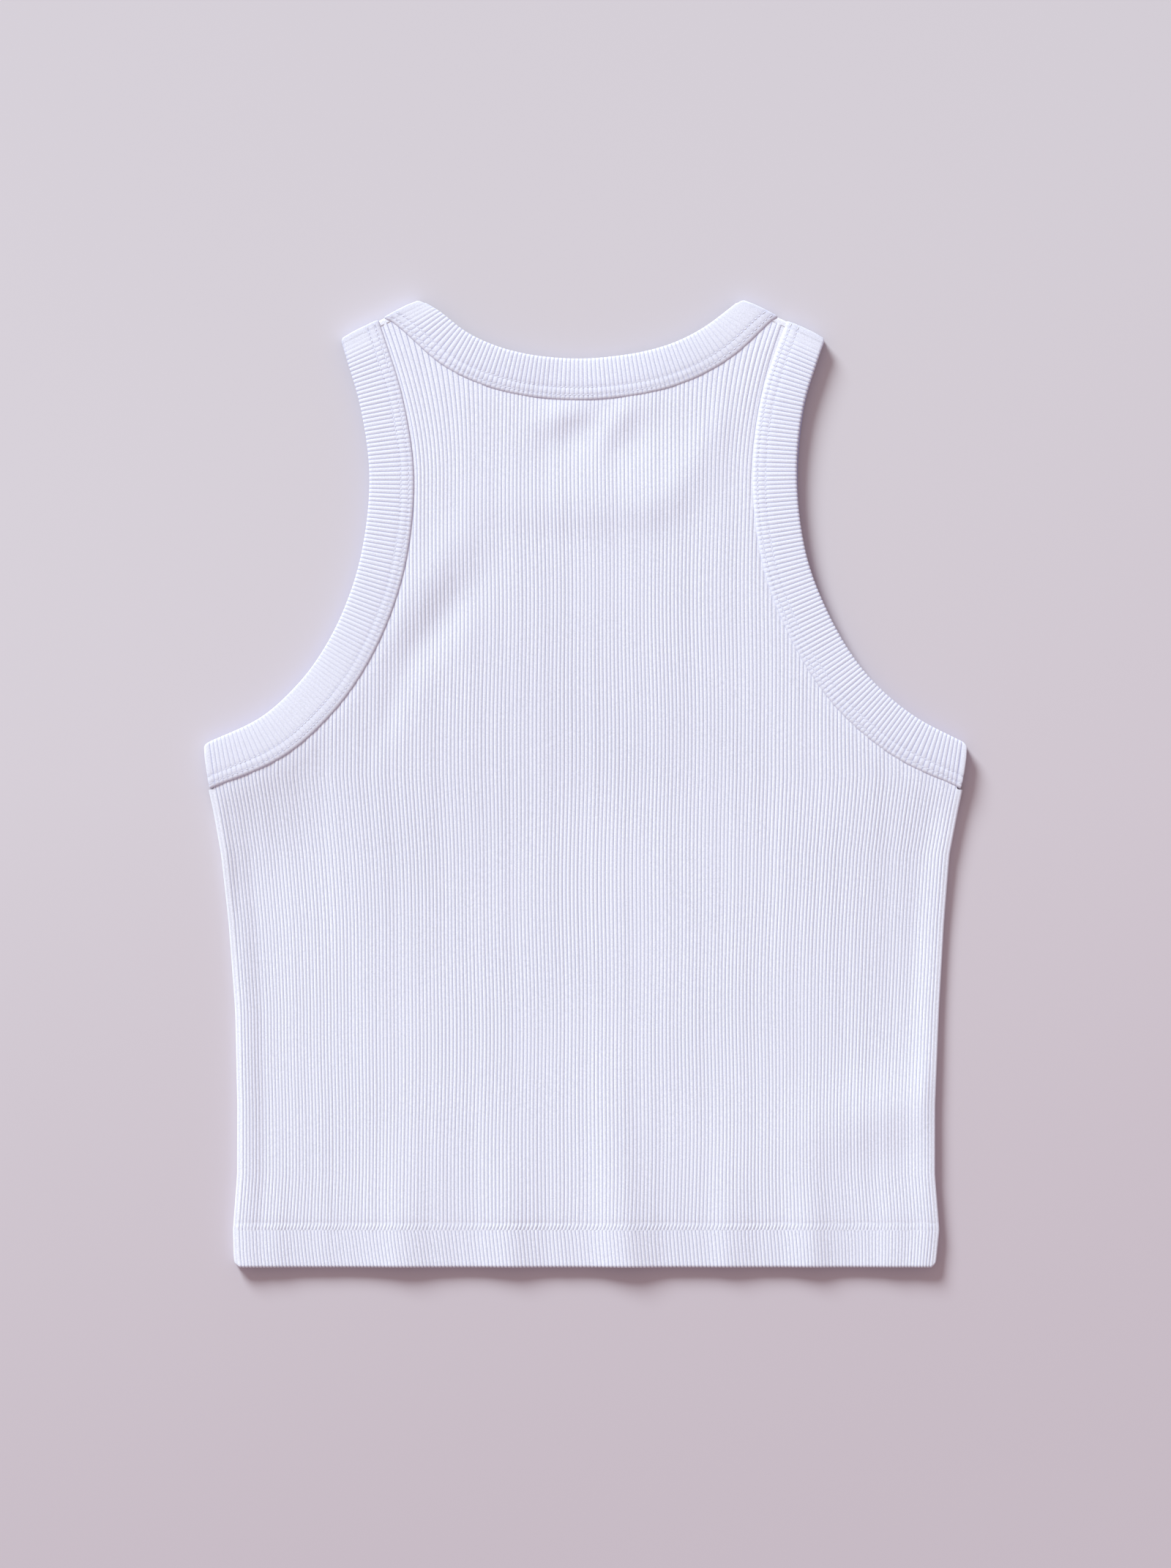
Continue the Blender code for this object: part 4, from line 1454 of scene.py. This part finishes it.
# A binding's section, round from its seam over the outer wall, the free edge and the inner wall
# into the slot: share of the width, distance from there, height, the heading in which a rib
# stands out (across, up), how much of the rib shows, and how far the stitches press it.
SECTION = np.array(
    [
        (1, -0.05, 0.62, 0.0, 1.0, 0.0, 0.0),
        (1, 0.00, 0.74, 0.5, 0.7, 0.05, 0.0),
        (1, -0.25, 0.96, 0.3, 0.9, 0.2, 0.0),
        (1, -0.80, 1.17, 0.0, 1.0, 0.5, 0.0),
        (1, -1.50, 1.33, 0.0, 1.0, 0.7, 0.01),
        (1, -2.20, 1.38, 0.0, 1.0, 0.6, 0.05),
        (1, -2.60, 1.40, 0.0, 1.0, 0.4, 0.09),
        (1, -3.00, 1.42, 0.0, 1.0, 0.6, 0.05),
        (1, -3.70, 1.45, 0.0, 1.0, 0.8, 0.01),
        (1, -4.60, 1.47, 0.0, 1.0, 0.85, 0.0),
        (1, -5.50, 1.48, 0.0, 1.0, 0.8, 0.01),
        (1, -6.20, 1.48, 0.0, 1.0, 0.6, 0.05),
        (1, -6.60, 1.48, 0.0, 1.0, 0.5, 0.09),
        (1, -7.00, 1.48, 0.0, 1.0, 0.7, 0.05),
        (1, -8.00, 1.49, 0.0, 1.0, 0.95, 0.0),
        (1, -10.5, 1.50, 0.0, 1.0, 1.0, 0.0),
        (0, 7.00, 1.51, 0.0, 1.0, 1.0, 0.0),
        (0, 1.40, 1.53, 0.0, 1.0, 1.0, 0.0),
        (0, 0.55, 1.44, -0.3, 0.9, 1.0, 0.0),
        (0, 0.22, 1.24, -0.6, 0.7, 1.0, 0.0),
        (0, 0.06, 0.88, -0.9, 0.4, 0.9, 0.0),
        (0, 0.00, 0.30, -1.0, 0.0, 0.8, 0.0),
        (0, 0.06, -0.60, -1.0, -0.2, 0.5, 0.0),
        (0, 0.36, -1.30, -0.6, -0.2, 0.3, 0.0),
        (0, 1.20, -1.66, 0.0, 0.0, 0.0, 0.0),
        (0, 3.50, -1.78, 0.0, 0.0, 0.0, 0.0),
        (0, 9.00, -1.80, 0.0, 0.0, 0.0, 0.0),
        (1, -4.00, -1.80, 0.0, 0.0, 0.0, 0.0),
        (1, -0.50, -1.72, 0.0, 0.0, 0.0, 0.0),
        (1, 0.00, -1.30, 0.0, 0.0, 0.0, 0.0),
        (1, -0.05, -0.86, 0.0, 0.0, 0.0, 0.0),
        (0, 2.60, -0.80, 0.0, 0.0, 0.0, 0.0),
        (0, 2.20, 0.00, 0.0, 0.0, 0.0, 0.0),
        (0, 2.60, 0.80, 0.0, 0.0, 0.0, 0.0),
    ]
)
OUTER_WALL = slice(1, 15)  # the section's points from the seam to past the stitches
STITCH_ROWS = (2.6, 6.6)  # in from the seam
STITCH_PAINTED_SHADE = 0.4  # painted shade in a row of stitches: how much darker the tone is there
EDGE_PAINTED_SHADE = 0.32  # painted shade on the free edge, the seam's lip and across a fold
BENEATH_FROM = 0.55 * np.pi  # a fold's angle past which it counts as beneath: darker painted shade
# where the painted edge shade falls: the free edge's rows and the seam's lip
AT_EDGE = np.where(SECTION[:, 0] == 0, SECTION[:, 1] < 0.6, SECTION[:, 1] > -0.3)
NEAR_SEAM = (SECTION[:, 0] == 1) & (SECTION[:, 2] > 0)
AT_SEAM = np.where(NEAR_SEAM, np.clip(1 + SECTION[:, 1] / 8, 0.0, 1.0), 0.0)
# where the stitches press, and so where their painted shade goes
STITCHED = SECTION[:, 6] / SECTION[:, 6].max()


@dataclass
class Binding:
    """A rib strip folded over the edge of the panels, all round a neck or an armhole."""

    name: str
    back_line: Array
    front_line: Array
    folds: tuple[Array, Array]  # the folds' headings at the two ends of the lines
    towards: tuple[float, float]  # a place on the cloth's side of the lines
    widths: tuple[float, float]
    both_shoulders: bool
    calm: tuple[Calm, ...] = ()
    lip: float = 0.0  # how much lower the wall is by its seam
    shoulder_calm: tuple[float, float] = (4.0, 16.0)  # from a shoulder's line, where ribs start
    shoulder_left: float = 0.12  # what is left of them at that line
    fold_turn: float = 26.0  # over this length a section swings round to its fold
    reach: float = 2.0  # of the chord that gives a section's heading
    unevenness: float = 0.15
    seed: int = 3
    stations: Stations = field(init=False)

    def __post_init__(self) -> None:
        """Works out the cross-sections: the back half, a fold, the front half and a fold."""
        back, front = self._half(self.back_line), self._half(self.front_line)
        far, near = self._fold(back, front, -1), self._fold(back, front, 0)
        front = front.reversed()
        front.angle = np.full(len(front.at), np.pi)
        front.at = front.at[0] - front.at
        turn = np.pi * SIZES.fold_radius
        start = 0.0
        for part, run_of in ((back, back.at[-1]), (far, turn), (front, front.at[-1]), (near, turn)):
            part.at = part.at + start
            start += run_of
        self.length = start
        self.stations = Stations.joined([back, far, front, near])

    def _turned(self, line: Array, fold: Array) -> tuple[Array, Array]:
        """Cuts a line where its first end starts to turn over.

        That is on the free edge, at a fold's reach before the tip.

        Args:
            line: the free edge.
            fold: the fold's heading at its first end.

        Returns:
            What is left of the line, and the heading of the turn: the chord from there to the
            tip, so the edge runs on straight.
        """
        outward = np.array([-fold[1], fold[0]])
        outward = outward * np.sign(outward @ (line[0] - line[len(line) // 2]))
        inset = (line[0] - line) @ outward
        k = int(np.argmax(inset > SIZES.fold_reach))
        part = (SIZES.fold_reach - inset[k - 1]) / (inset[k] - inset[k - 1])
        turn = line[k - 1] + part * (line[k] - line[k - 1])
        return np.vstack([turn, line[k:]]), (line[0] - turn) / SIZES.fold_reach

    def _half(self, line: Array) -> Stations:
        """One half of the ring as it lies, between where its two turns start.

        Args:
            line: its free edge, from one fold to the other.

        Returns:
            Its cross-sections.
        """
        outwards = []
        for fold in self.folds:
            line, heading = self._turned(line, fold)
            line = line[::-1]
            outwards.append(heading)
        lengths = np.concatenate([[0.0], np.cumsum(np.linalg.norm(np.diff(line, axis=0), axis=1))])
        total = lengths[-1]
        places, crest = RIB.along(int(round(total / SIZES.band_pitch)))
        at = places / places[-1] * total

        def on_line(along: Array) -> Array:
            """Places at these lengths."""
            return np.column_stack([np.interp(along, lengths, line[:, i]) for i in (0, 1)])

        ahead, behind = np.minimum(at + self.reach, total), np.maximum(at - self.reach, 0.0)
        heading = on_line(ahead) - on_line(behind)
        across = np.column_stack([-heading[:, 1], heading[:, 0]])
        across /= np.linalg.norm(across, axis=1)[:, None]
        middle = len(at) // 2
        place = on_line(at)
        across *= np.sign(across[middle] @ (np.asarray(self.towards) - place[middle]))
        for fold, away in zip(self.folds, (at, total - at)):
            turn = (1 - step(away, 0.0, self.fold_turn))[:, None]
            across = across * (1 - turn) + np.asarray(fold) * turn
        across /= np.linalg.norm(across, axis=1)[:, None]
        shoulder, wide = self.widths
        if self.both_shoulders:
            share = step(np.minimum(at, total - at), 0.0, total / 3)
        else:
            share = step(at, 0.0, total / 2)
        width = shoulder + (wide - shoulder) * share
        outward = np.where((at < total / 2)[:, None], outwards[0], outwards[1])
        return Stations(place, across, outward, np.zeros(len(at)), width, crest, at)

    def _fold(self, back: Stations, front: Stations, end: int) -> Stations:
        """The cross-sections through a fold, which are parts of a half turn.

        Each value goes evenly from the back half's to the front half's.

        Args:
            back: the half of the ring that lies on top.
            front: the half beneath, which runs the same way.
            end: 0 for the fold at their start, where the ring comes up, -1 for the one at the end.

        Returns:
            The cross-sections, without those that the halves have.
        """
        length = np.pi * SIZES.fold_radius
        share = FOLD_SHARES[::-1] if end == 0 else FOLD_SHARES
        crest = np.interp(share * FOLD_RIBS, *RIB.along(FOLD_RIBS))
        places = 1 - share if end == 0 else share

        def mixed(first: Array, last: Array) -> Array:
            """One value, once for each cross-section."""
            return first + np.multiply.outer(share, last - first)

        place, across, outward, width = (
            mixed(getattr(back, name)[end], getattr(front, name)[end])
            for name in ("place", "across", "outward", "width")
        )
        return Stations(place, across, outward, np.pi * share, width, crest, places * length)

    def strength(self, stations: Stations) -> Array:
        """How much of the ribs shows: all, less the calm places and the turns at the shoulders.

        Args:
            stations: the cross-sections.

        Returns:
            A share from 0 to 1 for each.
        """
        left = np.ones(len(stations.at))
        for calm in self.calm:
            left = left * calm.left(stations.place)
        for shoulder in SHOULDERS.values():
            ribbed = step(distance(stations.place, shoulder), *self.shoulder_calm)
            left = left * (self.shoulder_left + (1 - self.shoulder_left) * ribbed)
        return left

    def heights(self) -> Array:
        """The heights of the section's points."""
        return SECTION[:, 2] - self.lip * AT_SEAM

    def edge_shade(self) -> Array:
        """How much painted shade darkens each point at the free edge, the seam's lip and a fold:
        more beneath, where little light comes.

        Returns:
            A share from 0 to 1: cross-section, point.
        """
        angle = self.stations.angle[:, None]
        edge = np.maximum(AT_EDGE, np.sin(angle))
        beneath = np.maximum(AT_EDGE * (SECTION[:, 2] < 0), angle > BENEATH_FROM)
        return EDGE_PAINTED_SHADE * edge + (1 - EDGE_PAINTED_SHADE) * edge * beneath

    def build(self, shift: Array) -> bpy.types.Object:
        """The section is carried round the ring. Each of its points stands out by the rib there,
        beneath by what is left of it, so that the crests and not the valleys lie on the surface.

        Args:
            shift: added to every point, in millimetres.

        Returns:
            The ring.
        """
        skin = Skin()
        s = self.stations
        strength = self.strength(s)
        rib = np.arange(len(s.at)) // len(RIB.phases)
        draw = np.random.default_rng(self.seed).uniform(-1, 1, rib[-1] + 3)
        rise = SIZES.band_rise * strength * (1 + self.unevenness * draw[rib])
        beneath = (1 - np.cos(s.angle)) / 2
        stand = (rise * s.crest - beneath * SIZES.band_rise)[:, None] * SECTION[:, 5]
        across = SECTION[:, 0] * s.width[:, None] + SECTION[:, 1] + stand * SECTION[:, 3]
        up = self.heights() + stand * SECTION[:, 4] - SECTION[:, 6]
        ribbed = np.minimum(SECTION[:, 5], 1.0) * strength[:, None]
        # the tone is painted shade: valley to crest, darker in the rows of stitches and at the edges
        tone = PLAIN_SHADED_TONE + (s.crest[:, None] - PLAIN_SHADED_TONE) * ribbed
        tone = tone * (1 - STITCH_PAINTED_SHADE * STITCHED) * (1 - self.edge_shade())
        pattern = SIZES.rib_pitch / SIZES.band_pitch
        cloth = np.stack(np.broadcast_arrays(s.at[:, None] * pattern, across), -1)
        numbers = skin.add(s.points(across, up), cloth, tone)
        skin.weave(numbers, wrap_first=True, wrap_second=True)
        return skin.piece(self.name, shift)


# Where the front half of an armhole's binding peeks out from under the back half: y, half width, by.
FRONT_PEEK = {Side.LEFT: (160.0, 40.0, 0.0), Side.RIGHT: (172.0, 36.0, 0.9)}
SIDE_FOLD_TILT = 0.14  # sideways run of a side's fold for each millimetre down
BINDING_SPACING = 1.0  # of the points of a binding's free edge
ARM_LIP = {Side.LEFT: 0.0, Side.RIGHT: 0.3}
NECK_LIP = 0.2


def armhole_binding(side: Side, *calm: Calm) -> Binding:
    """The binding of one armhole.

    Args:
        side: which armhole.
        calm: where its ribs are stretched flat.

    Returns:
        The binding, which folds along the shoulder's line and down the side.
    """
    tip, neck_tip = SHOULDERS[side]
    line = OUTLINE.armhole(side, BINDING_SPACING)
    down = unit(np.array([-side.value * SIDE_FOLD_TILT, -1.0]))
    folds = (unit(neck_tip - tip), down)
    y, spread, by = FRONT_PEEK[side]
    peek = side.value * by * bump(line[:, 1], y, spread)
    beneath = line + np.column_stack([peek, np.zeros(len(line))])
    name, widths = f"{side.name.lower()}_armhole_knit", SIZES.arm_band
    return Binding(name, line, beneath, folds, (0.0, 40.0), widths, False, calm, ARM_LIP[side])


def neck_binding(*calm: Calm) -> Binding:
    """The binding of the neck, which folds along both shoulders' lines.

    Args:
        calm: where its ribs are stretched flat.

    Returns:
        The binding.
    """
    folds = tuple(unit(SHOULDERS[side][0] - SHOULDERS[side][1]) for side in Side)
    back, front = OUTLINE.back_neck(BINDING_SPACING), OUTLINE.front_neck(BINDING_SPACING)
    return Binding("neck_knit", back, front, folds, (0.0, -40.0), SIZES.neck_band, True, calm, NECK_LIP)


# ---------------------------------------------------------------------------------------------
# Turns of the body's cloth
# ---------------------------------------------------------------------------------------------


@dataclass
class ShoulderCloth:
    """The sliver of the body that turns over a shoulder between the two bindings."""

    side: Side
    tuck: float = 5.0  # how far it reaches under each binding
    run_in: float = 0.7
    steps: int = 13  # through the half turn
    heights: tuple[float, float, float] = (0.3, 0.51, -0.51)  # at its rims, above and beneath
    tone: float = 0.8

    def section(self, length: float) -> tuple[Array, Array]:
        """The flat section of one wall, from rim to rim above and back beneath.

        Args:
            length: of the shoulder's line.

        Returns:
            Each point's place along that line and its height.
        """
        low = SIZES.arm_band[0] - self.tuck
        high = length - SIZES.neck_band[0] + self.tuck
        rim, above, beneath = self.heights
        along = [low, low, low + 0.3, *np.linspace(low + 3, high - 3, 5), high - 0.3, high, high]
        v = np.concatenate([along, np.linspace(high - 0.3, low + 0.3, 7)])
        return v, np.array([-rim, rim, *[above] * 7, rim, -rim, *[beneath] * 7])

    def build(self, shift: Array) -> bpy.types.Object:
        """The section is carried along the panel's last bit, through the half turn of the
        shoulder's fold, and back beneath.

        Args:
            shift: added to every point, in millimetres.

        Returns:
            The sliver.
        """
        skin = Skin()
        tip, neck_tip = SHOULDERS[self.side]
        across = unit(neck_tip - tip)
        outward = np.array([-across[1], across[0]])
        outward = outward * np.sign(outward[1])
        v, h = self.section(np.linalg.norm(neck_tip - tip))
        angle = np.concatenate([[0.0], np.linspace(0.0, np.pi, self.steps), [np.pi]])
        back = np.concatenate([[self.run_in], np.zeros(self.steps), [self.run_in]])
        place = tip - outward * (SIZES.fold_reach + back)[:, None]
        count = len(angle)
        angle[0] = 1e-6  # the fold's own height there, and not the laid form's
        headings = (np.repeat(heading[None], count, axis=0) for heading in (across, outward))
        stations = Stations(place, *headings, angle, *np.zeros((3, count)))
        grid = stations.points(np.tile(v, (count, 1)), np.tile(h, (count, 1)))
        cloth = np.stack(np.broadcast_arrays(v, np.arange(count)[:, None] * 0.5), -1)
        # painted shade across the fold's turn, as on the bindings
        tone = np.broadcast_to(self.tone * (1 - EDGE_PAINTED_SHADE * np.sin(angle))[:, None], grid.shape[:2])
        skin.tube(grid, cloth, tone, self.tone)
        return skin.piece(f"{self.side.name.lower()}_shoulder_cloth", shift)


@dataclass
class SideCloth:
    """The turn of the body's cloth at a side seam, which closes the slit between the panels."""

    side: Side
    above_hem: float = 3.0
    steps: int = 110
    # Its section: the distance in from the side, the share of the way up the slit, how far beyond
    #     that, which sinks it into a panel, and the tone, which is painted shade, darker at the rims.
    section: tuple = (
        (1.3, 0.0, -0.25, 0.4), (0.4, 0.0, -0.25, 0.4), (0.3, 0.0, 0.0, 0.4), (0.12, 0.3, 0.0, 0.62),
        (0.12, 0.7, 0.0, 0.62), (0.3, 1.0, 0.0, 0.4), (0.4, 1.0, 0.25, 0.4), (1.3, 1.0, 0.25, 0.4),
    )

    def build(self, shift: Array) -> bpy.types.Object:
        """A narrow section, round on its outer side, is carried up the side from the hem's corner
        to the armhole binding, between the inner faces of the two panels.

        Args:
            shift: added to every point, in millimetres.

        Returns:
            The strip.
        """
        skin = Skin()
        sign = self.side.value
        inset, share, sunk, tone = np.array(self.section).T
        top = float(tops_of(np.array([sign]), BACK_NECK)[0])
        y = np.linspace(SIZES.hem_y + self.above_hem, top, self.steps)
        edge = np.column_stack([sign * OUTLINE.reach(sign, y), y])
        low, high = FORM.front_inside(edge)[:, None], FORM.back_inside(edge)[:, None]
        x = edge[:, :1] - sign * inset
        grid = np.stack(np.broadcast_arrays(x, y[:, None], low + (high - low) * share + sunk), -1)
        # the tones paint shade where the strip meets the panels
        skin.tube(grid, grid[..., [2, 1]], np.broadcast_to(tone, x.shape), tone[0])
        return skin.piece(f"{self.side.name.lower()}_side_cloth", shift)


# ---------------------------------------------------------------------------------------------
# Stitching
# ---------------------------------------------------------------------------------------------


@dataclass(frozen=True)
class Stitch:
    """One sunk stitch of thread: a short rod, thickest in its middle, in millimetres."""

    pitch: float = 1.95
    share: float = 0.72  # of the pitch that shows
    radius: float = 0.24
    lift: float = 0.0  # of its middle line above the cloth
    rings: int = 4
    sides: int = 6
    sunk_ends: float = 0.14  # how much deeper its two ends lie than its middle
    ring_reach: float = 0.86  # of the outermost rings, -1 to 1 being the whole stitch
    roundness: float = 0.95  # 1 for a half circle over the rings' places

    def template(self) -> tuple[Array, Array, Array, Array, Array]:
        """The stitch on its own.

        Its places run from -1 to 1, and its radius follows a flattened half circle over them.

        Returns:
            Each point's place along it, the two offsets from its middle line, and its four-sided
            and three-sided faces.
        """
        t = np.linspace(-self.ring_reach, self.ring_reach, self.rings)
        turn = np.arange(self.sides) / self.sides * 2 * np.pi
        thick = self.radius * np.sqrt(1 - (t * self.roundness) ** 2)
        along = np.append(np.repeat(t, self.sides), (-1.0, 1.0))
        side = np.append((thick[:, None] * np.cos(turn)).ravel(), (0.0, 0.0))
        up = np.append((thick[:, None] * np.sin(turn)).ravel(), (0.0, 0.0))
        grid = np.arange(self.rings * self.sides).reshape(self.rings, self.sides)
        following = np.roll(grid, -1, axis=1)
        quads = np.stack([grid[:-1], grid[1:], following[1:], following[:-1]], -1).reshape(-1, 4)
        tail, head = self.rings * self.sides, self.rings * self.sides + 1
        ends = [
            np.column_stack([np.full(self.sides, tail), grid[0], following[0]]),
            np.column_stack([np.full(self.sides, head), following[-1], grid[-1]]),
        ]
        return along, side, up, quads, np.vstack(ends)

    def along_row(self, start: float, length: float) -> tuple[Array, Array]:
        """A row of stitches.

        Args:
            start: where the row starts.
            length: how long it is, into which a whole number of stitches is fitted.

        Returns:
            The places of each stitch's points along the row, and the one stitch's own, -1 to 1.
        """
        own = self.template()[0]
        count = int(round(length / self.pitch))
        pitch = length / count
        middles = start + (np.arange(count) + 0.5) * pitch
        return middles[:, None] + own * pitch * self.share / 2, own


@dataclass
class BindingStitches:
    """The two rows of coverstitch along a binding's seam."""

    binding: Binding
    stitch: Stitch = Stitch()
    press: float = 0.09  # how deep a row presses the cloth
    rib_share: float = 0.2  # of the ribs' rise, on which a stitch lies
    press_beneath: float = 0.1

    def build(self, shift: Array) -> bpy.types.Object:
        """Each row runs at a fixed distance in from the seam, in its pressed groove. The ends of
        a stitch sink into the cloth.

        Args:
            shift: added to every point, in millimetres.

        Returns:
            The two rows.
        """
        skin = Skin()
        _, side, up, quads, triangles = self.stitch.template()
        at, own = self.stitch.along_row(0.0, self.binding.length)
        s = self.binding.stations.between(at)
        for row in STITCH_ROWS:
            wall = np.interp(row, -SECTION[OUTER_WALL, 1], self.binding.heights()[OUTER_WALL])
            sunk = self.press + self.stitch.sunk_ends * own**4
            rise = SIZES.band_rise * self.rib_share * self.binding.strength(s).reshape(at.shape)
            beneath = (np.cos(s.angle) < -0.5).reshape(at.shape)
            across = s.width.reshape(at.shape) - row + side
            high = wall + np.where(beneath, -self.press_beneath, rise) + self.stitch.lift - sunk + up
            points = s.points(across.reshape(-1, 1), high.reshape(-1, 1))
            cloth = np.stack([at, across], -1)
            skin.scatter(points.reshape(*at.shape, 3), cloth, quads, triangles)
        return skin.piece(f"{self.binding.name}_stitches", shift)


@dataclass
class HemStitches:
    """The two rows of coverstitch along the hem, on the back and beneath on the front."""

    stitch: Stitch = Stitch(radius=0.17, lift=-0.05)
    side_gap: float = 1.5
    rib_share: float = 0.5  # of the ribs' rise, on which a stitch lies
    beneath: float = 0.17  # the height of its middle line there
    risen_ends: float = 0.1  # how much higher its two ends lie there

    def build(self, shift: Array) -> bpy.types.Object:
        """Each row runs straight across the panel, in its pressed groove.

        Args:
            shift: added to every point, in millimetres.

        Returns:
            The rows.
        """
        skin = Skin()
        _, side, up, quads, triangles = self.stitch.template()
        for y in SIZES.stitch_rows:
            low, high = (sign * float(OUTLINE.reach(sign, y)) for sign in (-1, 1))
            x, own = self.stitch.along_row(low + self.side_gap, high - low - 2 * self.side_gap)
            flat = np.stack([x, y + np.broadcast_to(side, x.shape)], -1)
            top = FORM.back_outside(flat) - FORM.stitched_groove(flat[..., 1])
            top = top + self.rib_share * SIZES.rib_rise - self.stitch.sunk_ends * own**4
            beneath = self.beneath + self.risen_ends * own**4 - self.stitch.lift
            for high_up in (top + self.stitch.lift + up, beneath + np.broadcast_to(up, x.shape)):
                points = np.concatenate([flat, high_up[..., None]], -1)
                skin.scatter(points, flat, quads, triangles)
        return skin.piece("hem_stitches", shift)


# ---------------------------------------------------------------------------------------------
# The stage
# ---------------------------------------------------------------------------------------------


@dataclass
class Studio:
    """The floor, the camera and the lights. Distances are in metres."""

    frame_height: float = 0.7998
    centre_y: float = -0.0004
    distance: float = 4.0
    floor_size: float = 6.0
    floor_z: float = -0.0001
    sensor_height: float = 24.0  # of the camera, in millimetres
    key_place: tuple[float, float, float] = (-7.05, 11.55, 6.45)
    key_size: float = 5.8
    key_power: float = 3455.0
    key_colour: tuple[float, float, float] = (0.86, 1.0, 1.0)
    ambient: float = 0.505
    ambient_colour: tuple[float, float, float] = (1.0, 0.815, 0.82)

    def floor(self) -> bpy.types.Object:
        """A square of floor just under the garment.

        Returns:
            The floor.
        """
        signs = ((-1, -1), (1, -1), (1, 1), (-1, 1))
        corners = [(x * self.floor_size / 2, y * self.floor_size / 2, self.floor_z) for x, y in signs]
        mesh = bpy.data.meshes.new("floor")
        mesh.from_pydata(corners, [], [(0, 1, 2, 3)])
        mesh.materials.append(GroundFinish().material())
        made = placed_object("floor", mesh)
        return made

    def camera(self) -> None:
        """A long lens straight above, whose frame is the stated height at the floor."""
        data = bpy.data.cameras.new("camera")
        data.sensor_fit = "VERTICAL"
        data.sensor_height = self.sensor_height
        data.lens = self.sensor_height * self.distance / self.frame_height
        data.clip_end = 20.0
        made = placed_object("camera", data)
        made.location = (0.0, self.centre_y, self.distance)
        bpy.context.scene.camera = made

    def lights(self) -> None:
        """A soft key from the upper left, and an even pale surround."""
        data = bpy.data.lights.new("key", "AREA")
        data.shape = "DISK"
        data.size = self.key_size
        data.energy = self.key_power
        data.color = self.key_colour
        made = placed_object("key", data)
        made.location = self.key_place
        made.rotation_euler = (-Vector(self.key_place)).to_track_quat("-Z", "Y").to_euler()
        world = bpy.data.worlds.new("surround")
        world.use_nodes = True
        background = world.node_tree.nodes["Background"]
        background.inputs["Color"].default_value = rgba(self.ambient_colour)
        background.inputs["Strength"].default_value = self.ambient
        bpy.context.scene.world = world

    def set_up(self) -> bpy.types.Object:
        """Makes the stage.

        Returns:
            The floor.
        """
        self.camera()
        self.lights()
        bpy.context.scene.view_settings.view_transform = "Standard"
        return self.floor()


# ---------------------------------------------------------------------------------------------
# The garment
# ---------------------------------------------------------------------------------------------


@dataclass
class TankTop:
    """The whole garment."""

    outline_centre: tuple[float, float] = (0.1, -0.55)  # of the frame's origin, in millimetres
    left_calm: tuple[Calm, ...] = (Calm(-150.0, 46.0, 44.0, 0.8),)
    neck_calm: tuple[Calm, ...] = (Calm(82.0, 245.0, 36.0, 0.95),)

    def dress(
        self, piece: bpy.types.Object, slot: str, finish: bpy.types.Material, *nodes: str
    ) -> bpy.types.Object:
        """Gives a piece its finish and its place in the frame.

        Args:
            piece: the piece.
            slot: not used.
            finish: its material.
            nodes: the nodes that it stands for.

        Returns:
            The piece.
        """
        piece.data.materials.append(finish)
        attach(piece, "root")
        for node in nodes:
            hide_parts(node)
        LOG.info("%s: %d faces", piece.name, len(piece.data.polygons))
        return piece

    def lay_out(self) -> None:
        """Builds and dresses every piece.
        """
        shift = -np.array([*self.outline_centre, 0.0])
        knit = KnitFinish("rib_knit").material()
        band = KnitFinish("binding_knit", BINDING_CREST, loop_shade=0.04, relief_mm=0.05).material()
        thread = ThreadFinish("thread").material()
        back = self.dress(BackPanel().build(shift), "back_panel", knit, "back_panel")
        hem = self.dress(BackHem().build(shift), "back_panel", knit, "back_panel")
        front = self.dress(FrontPanel().build(shift), "front_panel", knit, "front_panel")
        turns = [ShoulderCloth(side) for side in Side] + [SideCloth(side) for side in Side]
        turns = [self.dress(turn.build(shift), "back_panel", knit) for turn in turns]
        hem_rows = self.dress(HemStitches().build(shift), "back_panel", thread)
        bindings = {
            "left_armhole_binding": armhole_binding(Side.LEFT, *self.left_calm),
            "right_armhole_binding": armhole_binding(Side.RIGHT),
            "neck_binding": neck_binding(*self.neck_calm),
        }
        for node, binding in bindings.items():
            ring = self.dress(binding.build(shift), node, band, node)
            rows = self.dress(BindingStitches(binding).build(shift), node, thread)


def main() -> None:
    """Builds the garment on its stage."""
    logging.basicConfig(level=logging.INFO, format="%(name)s: %(message)s")
    floor = Studio().set_up()
    TankTop().lay_out()


if __name__ == "__main__":
    main()
